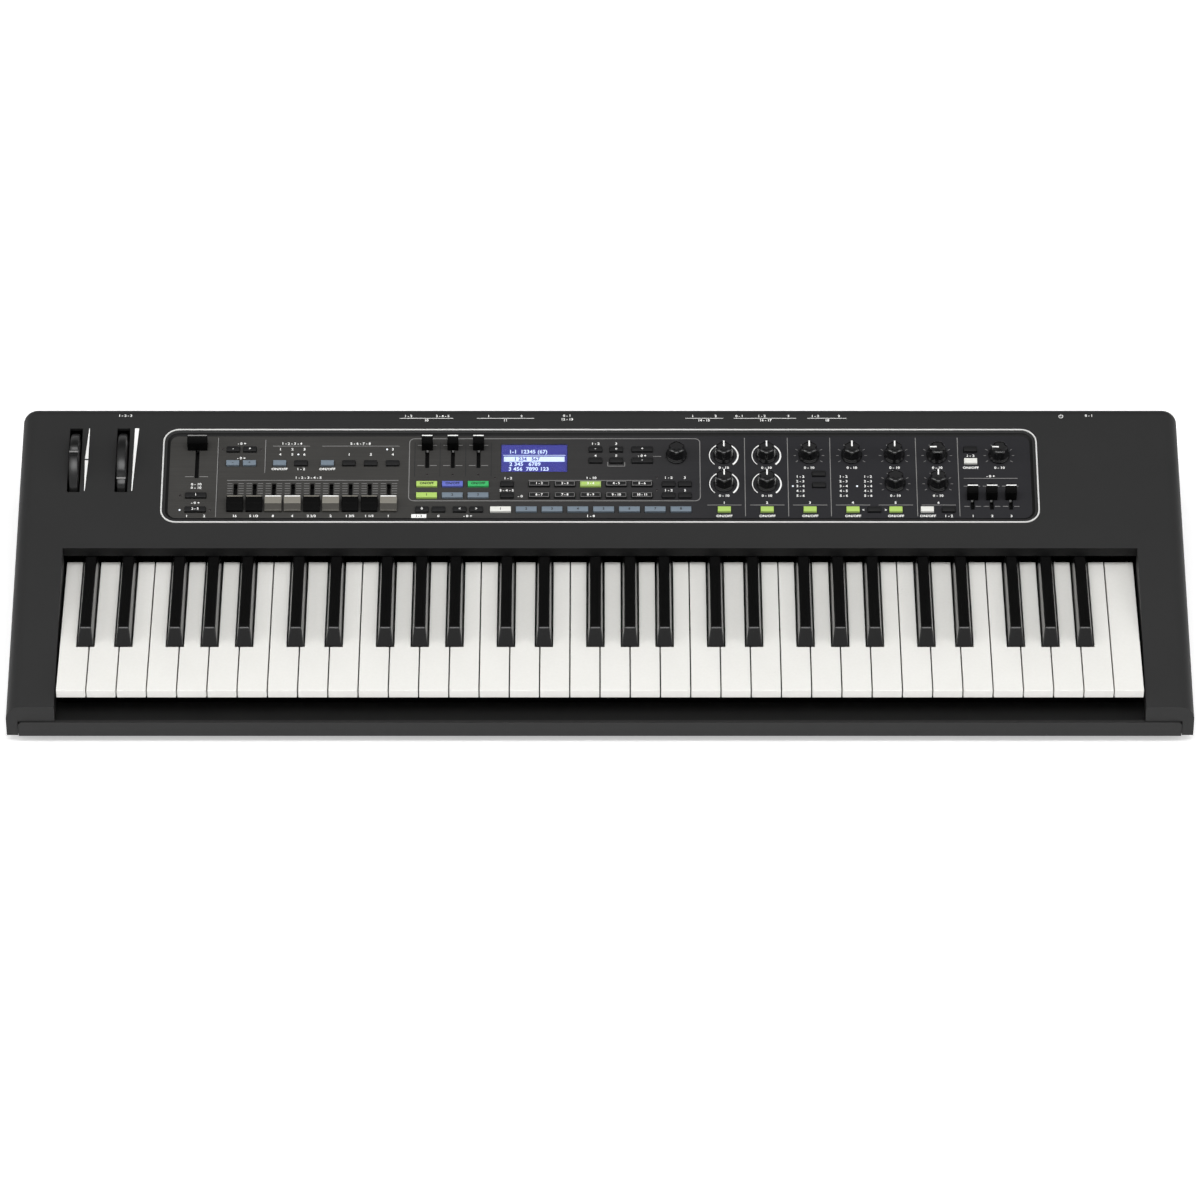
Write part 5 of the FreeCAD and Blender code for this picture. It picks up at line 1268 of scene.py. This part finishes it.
# %% Marks on the case
def wheel_marks(shape):
    x = -410.6
    ribbon(shape, [(x + 0.9, 23.5), (x - 0.2, 53.6)], [0.5, 2.7], 0, WHITE_INK)
    ribbon(shape, [(x - 0.2, 54.9), (x - 0.6, 85.0)], [2.7, 0.4], 0, WHITE_INK)
    x = -372.6
    ribbon(shape, [(x + 1.0, 23.5), (x, 54.0), (x - 0.9, 85.0)], [3.3, 1.9, 0.6], 0, WHITE_INK)


def socket_marks(shape):
    for x0, x1 in ((-161.0, -118.0), (-99.0, -53.0), (68.5, 99.0), (107.5, 157.7), (166.5, 198.0)):
        rule(shape, x0, x1, 13.5, 0.4, rise=0, ink=WHITE_INK)
    labels = (("1 - 2", -154.0, 11.4), ("3 - 4 - 5", -126.5, 11.4), ("10", -139.5, 15.6), ("1", -89.5, 11.4),
              ("2", -63.0, 11.4), ("11", -76.0, 15.6), ("0 - 1", -26.5, 11.0), ("12 - 13", -26.5, 14.6),
              ("1", 74.5, 11.4), ("2", 93.0, 11.4), ("14 - 15", 83.5, 15.6), ("0 - 1", 112.0, 11.4),
              ("1 - 2", 130.0, 11.4), ("3", 151.5, 11.4), ("16 - 17", 133.0, 15.6), ("1 - 2", 173.0, 11.4),
              ("3", 192.0, 11.4), ("18", 182.5, 15.6), ("1 - 2 - 3", -381.5, 11.0), ("0 - 1", 393.0, 11.0))
    for text, x, row in labels:
        figure(shape, text, x, row, 2.2, 0, stretch=1.1)
    ribbon(shape, arc_points(370.5, 11.6, 1.6, 120, 420, 20), 0.45, 0)
    ribbon(shape, [(370.5, 9.4), (370.5, 11.6)], 0.45, 0)


def case_marks(shape):
    wheel_marks(shape)
    socket_marks(shape)


settle("case_marks", paint(mesh_from(case_marks), *INKS), CASE)

# %% [markdown]
# The two round sockets on the back are black plastic, not metal. Each holds a black insert with five
# contact sleeves on an arc, set back in the plug room.

# %% Round sockets on the back
ROUND_SOCKET_X, SOCKET_RADIUS, SLEEVE_ARC = (-90.0, -62.0), 7.3, 5.0
sockets = nodes["data_sockets"].data
sockets.materials.append(dark_plastic)
for polygon in sockets.polygons:
    if min(abs(polygon.center.x / MM - x) for x in ROUND_SOCKET_X) < 10.5:
        polygon.material_index = 1
SOCKET_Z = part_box("data_sockets")[0][2] / MM + 9.5
# an outline in (-x, z), turned along y
BACKWARDS = Matrix(((-1, 0, 0, 0), (0, 0, 1, 0), (0, 1, 0, 0), (0, 0, 0, 1)))


def socket_inserts(shape):
    for x in ROUND_SOCKET_X:
        place = Matrix.Translation((x * MM, BACK_EDGE.y, SOCKET_Z * MM)) @ BACKWARDS
        lathe(shape, [(0, -10.8), (SOCKET_RADIUS, -10.8), (SOCKET_RADIUS, -4.4), (SOCKET_RADIUS - 0.5, -4.0),
                      (0, -4.0)], 32, place)
        first = len(shape.faces)
        for step in range(5):
            angle = math.radians(45 * step)
            spot = place @ Matrix.Translation(Vector((math.cos(angle), math.sin(angle), 0)) * SLEEVE_ARC * MM)
            lathe(shape, [(0, -5.0), (1.1, -5.0), (1.1, -3.8), (0.7, -3.8), (0.7, -4.6), (0, -4.6)], 12, spot)
        colour_from(shape, first)


settle("socket_inserts", paint(mesh_from(socket_inserts), dark_plastic, shell_steel), CASE)
print("socket inserts at z =", round(SOCKET_Z, 1), "mm")

# %% [markdown]
# The display is a blue liquid-crystal screen under a clear pane. Its rows are light figures on blue, and
# the chosen row is turned round: blue on a light bar. The screen lights itself, so it has some emission.

# %% The display
SCREEN_X, SCREEN_ROW, SCREEN_HALF_WIDTH, SCREEN_HALF_LENGTH = -52.65, 51.2, 26.3, 13.4
screen_blue = finish_material("screen_blue", srgb(52, 52, 138), srgb(62, 62, 152), 0.3, grain=2600.0,
                              glow=0.55)
screen_light = finish_material("screen_light", srgb(206, 222, 246), srgb(226, 238, 252), 0.3, glow=0.75)
clear_pane = finish_material("clear_pane", srgb(236, 238, 244), srgb(244, 246, 250), 0.08, relief=0.0,
                             Transmission_Weight=1.0, IOR=1.4)


def screen(shape):
    place = slope_matrix(SCREEN_X, SCREEN_ROW)
    block(shape, -SCREEN_HALF_WIDTH, SCREEN_HALF_WIDTH, -SCREEN_HALF_LENGTH, SCREEN_HALF_LENGTH, -3.5, -3.2,
          place)
    first = len(shape.faces)
    block(shape, -24.3, 24.3, -3.0, 1.9, -3.2, -3.1, place)
    block(shape, -25.0, 25.0, 3.1, 3.5, -3.2, -3.1, place)
    for text, x, row in (("1-1  12345 (67)", -57.5, 44.6), ("2 345   6789", -60.0, 56.8),
                         ("3 456  7890 123", -57.0, 61.6)):
        figure(shape, text, x, row, 3.5, -3.12)
    colour_from(shape, first)
    figure(shape, "1 234   567", -58.5, 51.8, 3.2, -3.03, ink=0)


def pane(shape):
    block(shape, -26.5, 26.5, -13.6, 13.6, -2.35, -2.0, slope_matrix(SCREEN_X, SCREEN_ROW))


settle("screen_face", paint(mesh_from(screen), screen_blue, screen_light), CASE)
settle("display_pane", paint(mesh_from(pane), clear_pane), CASE, ["display_window"])
print("display:", 2 * SCREEN_HALF_WIDTH, "x", 2 * SCREEN_HALF_LENGTH, "mm")

# %% Close the script
bpy.context.view_layer.update()
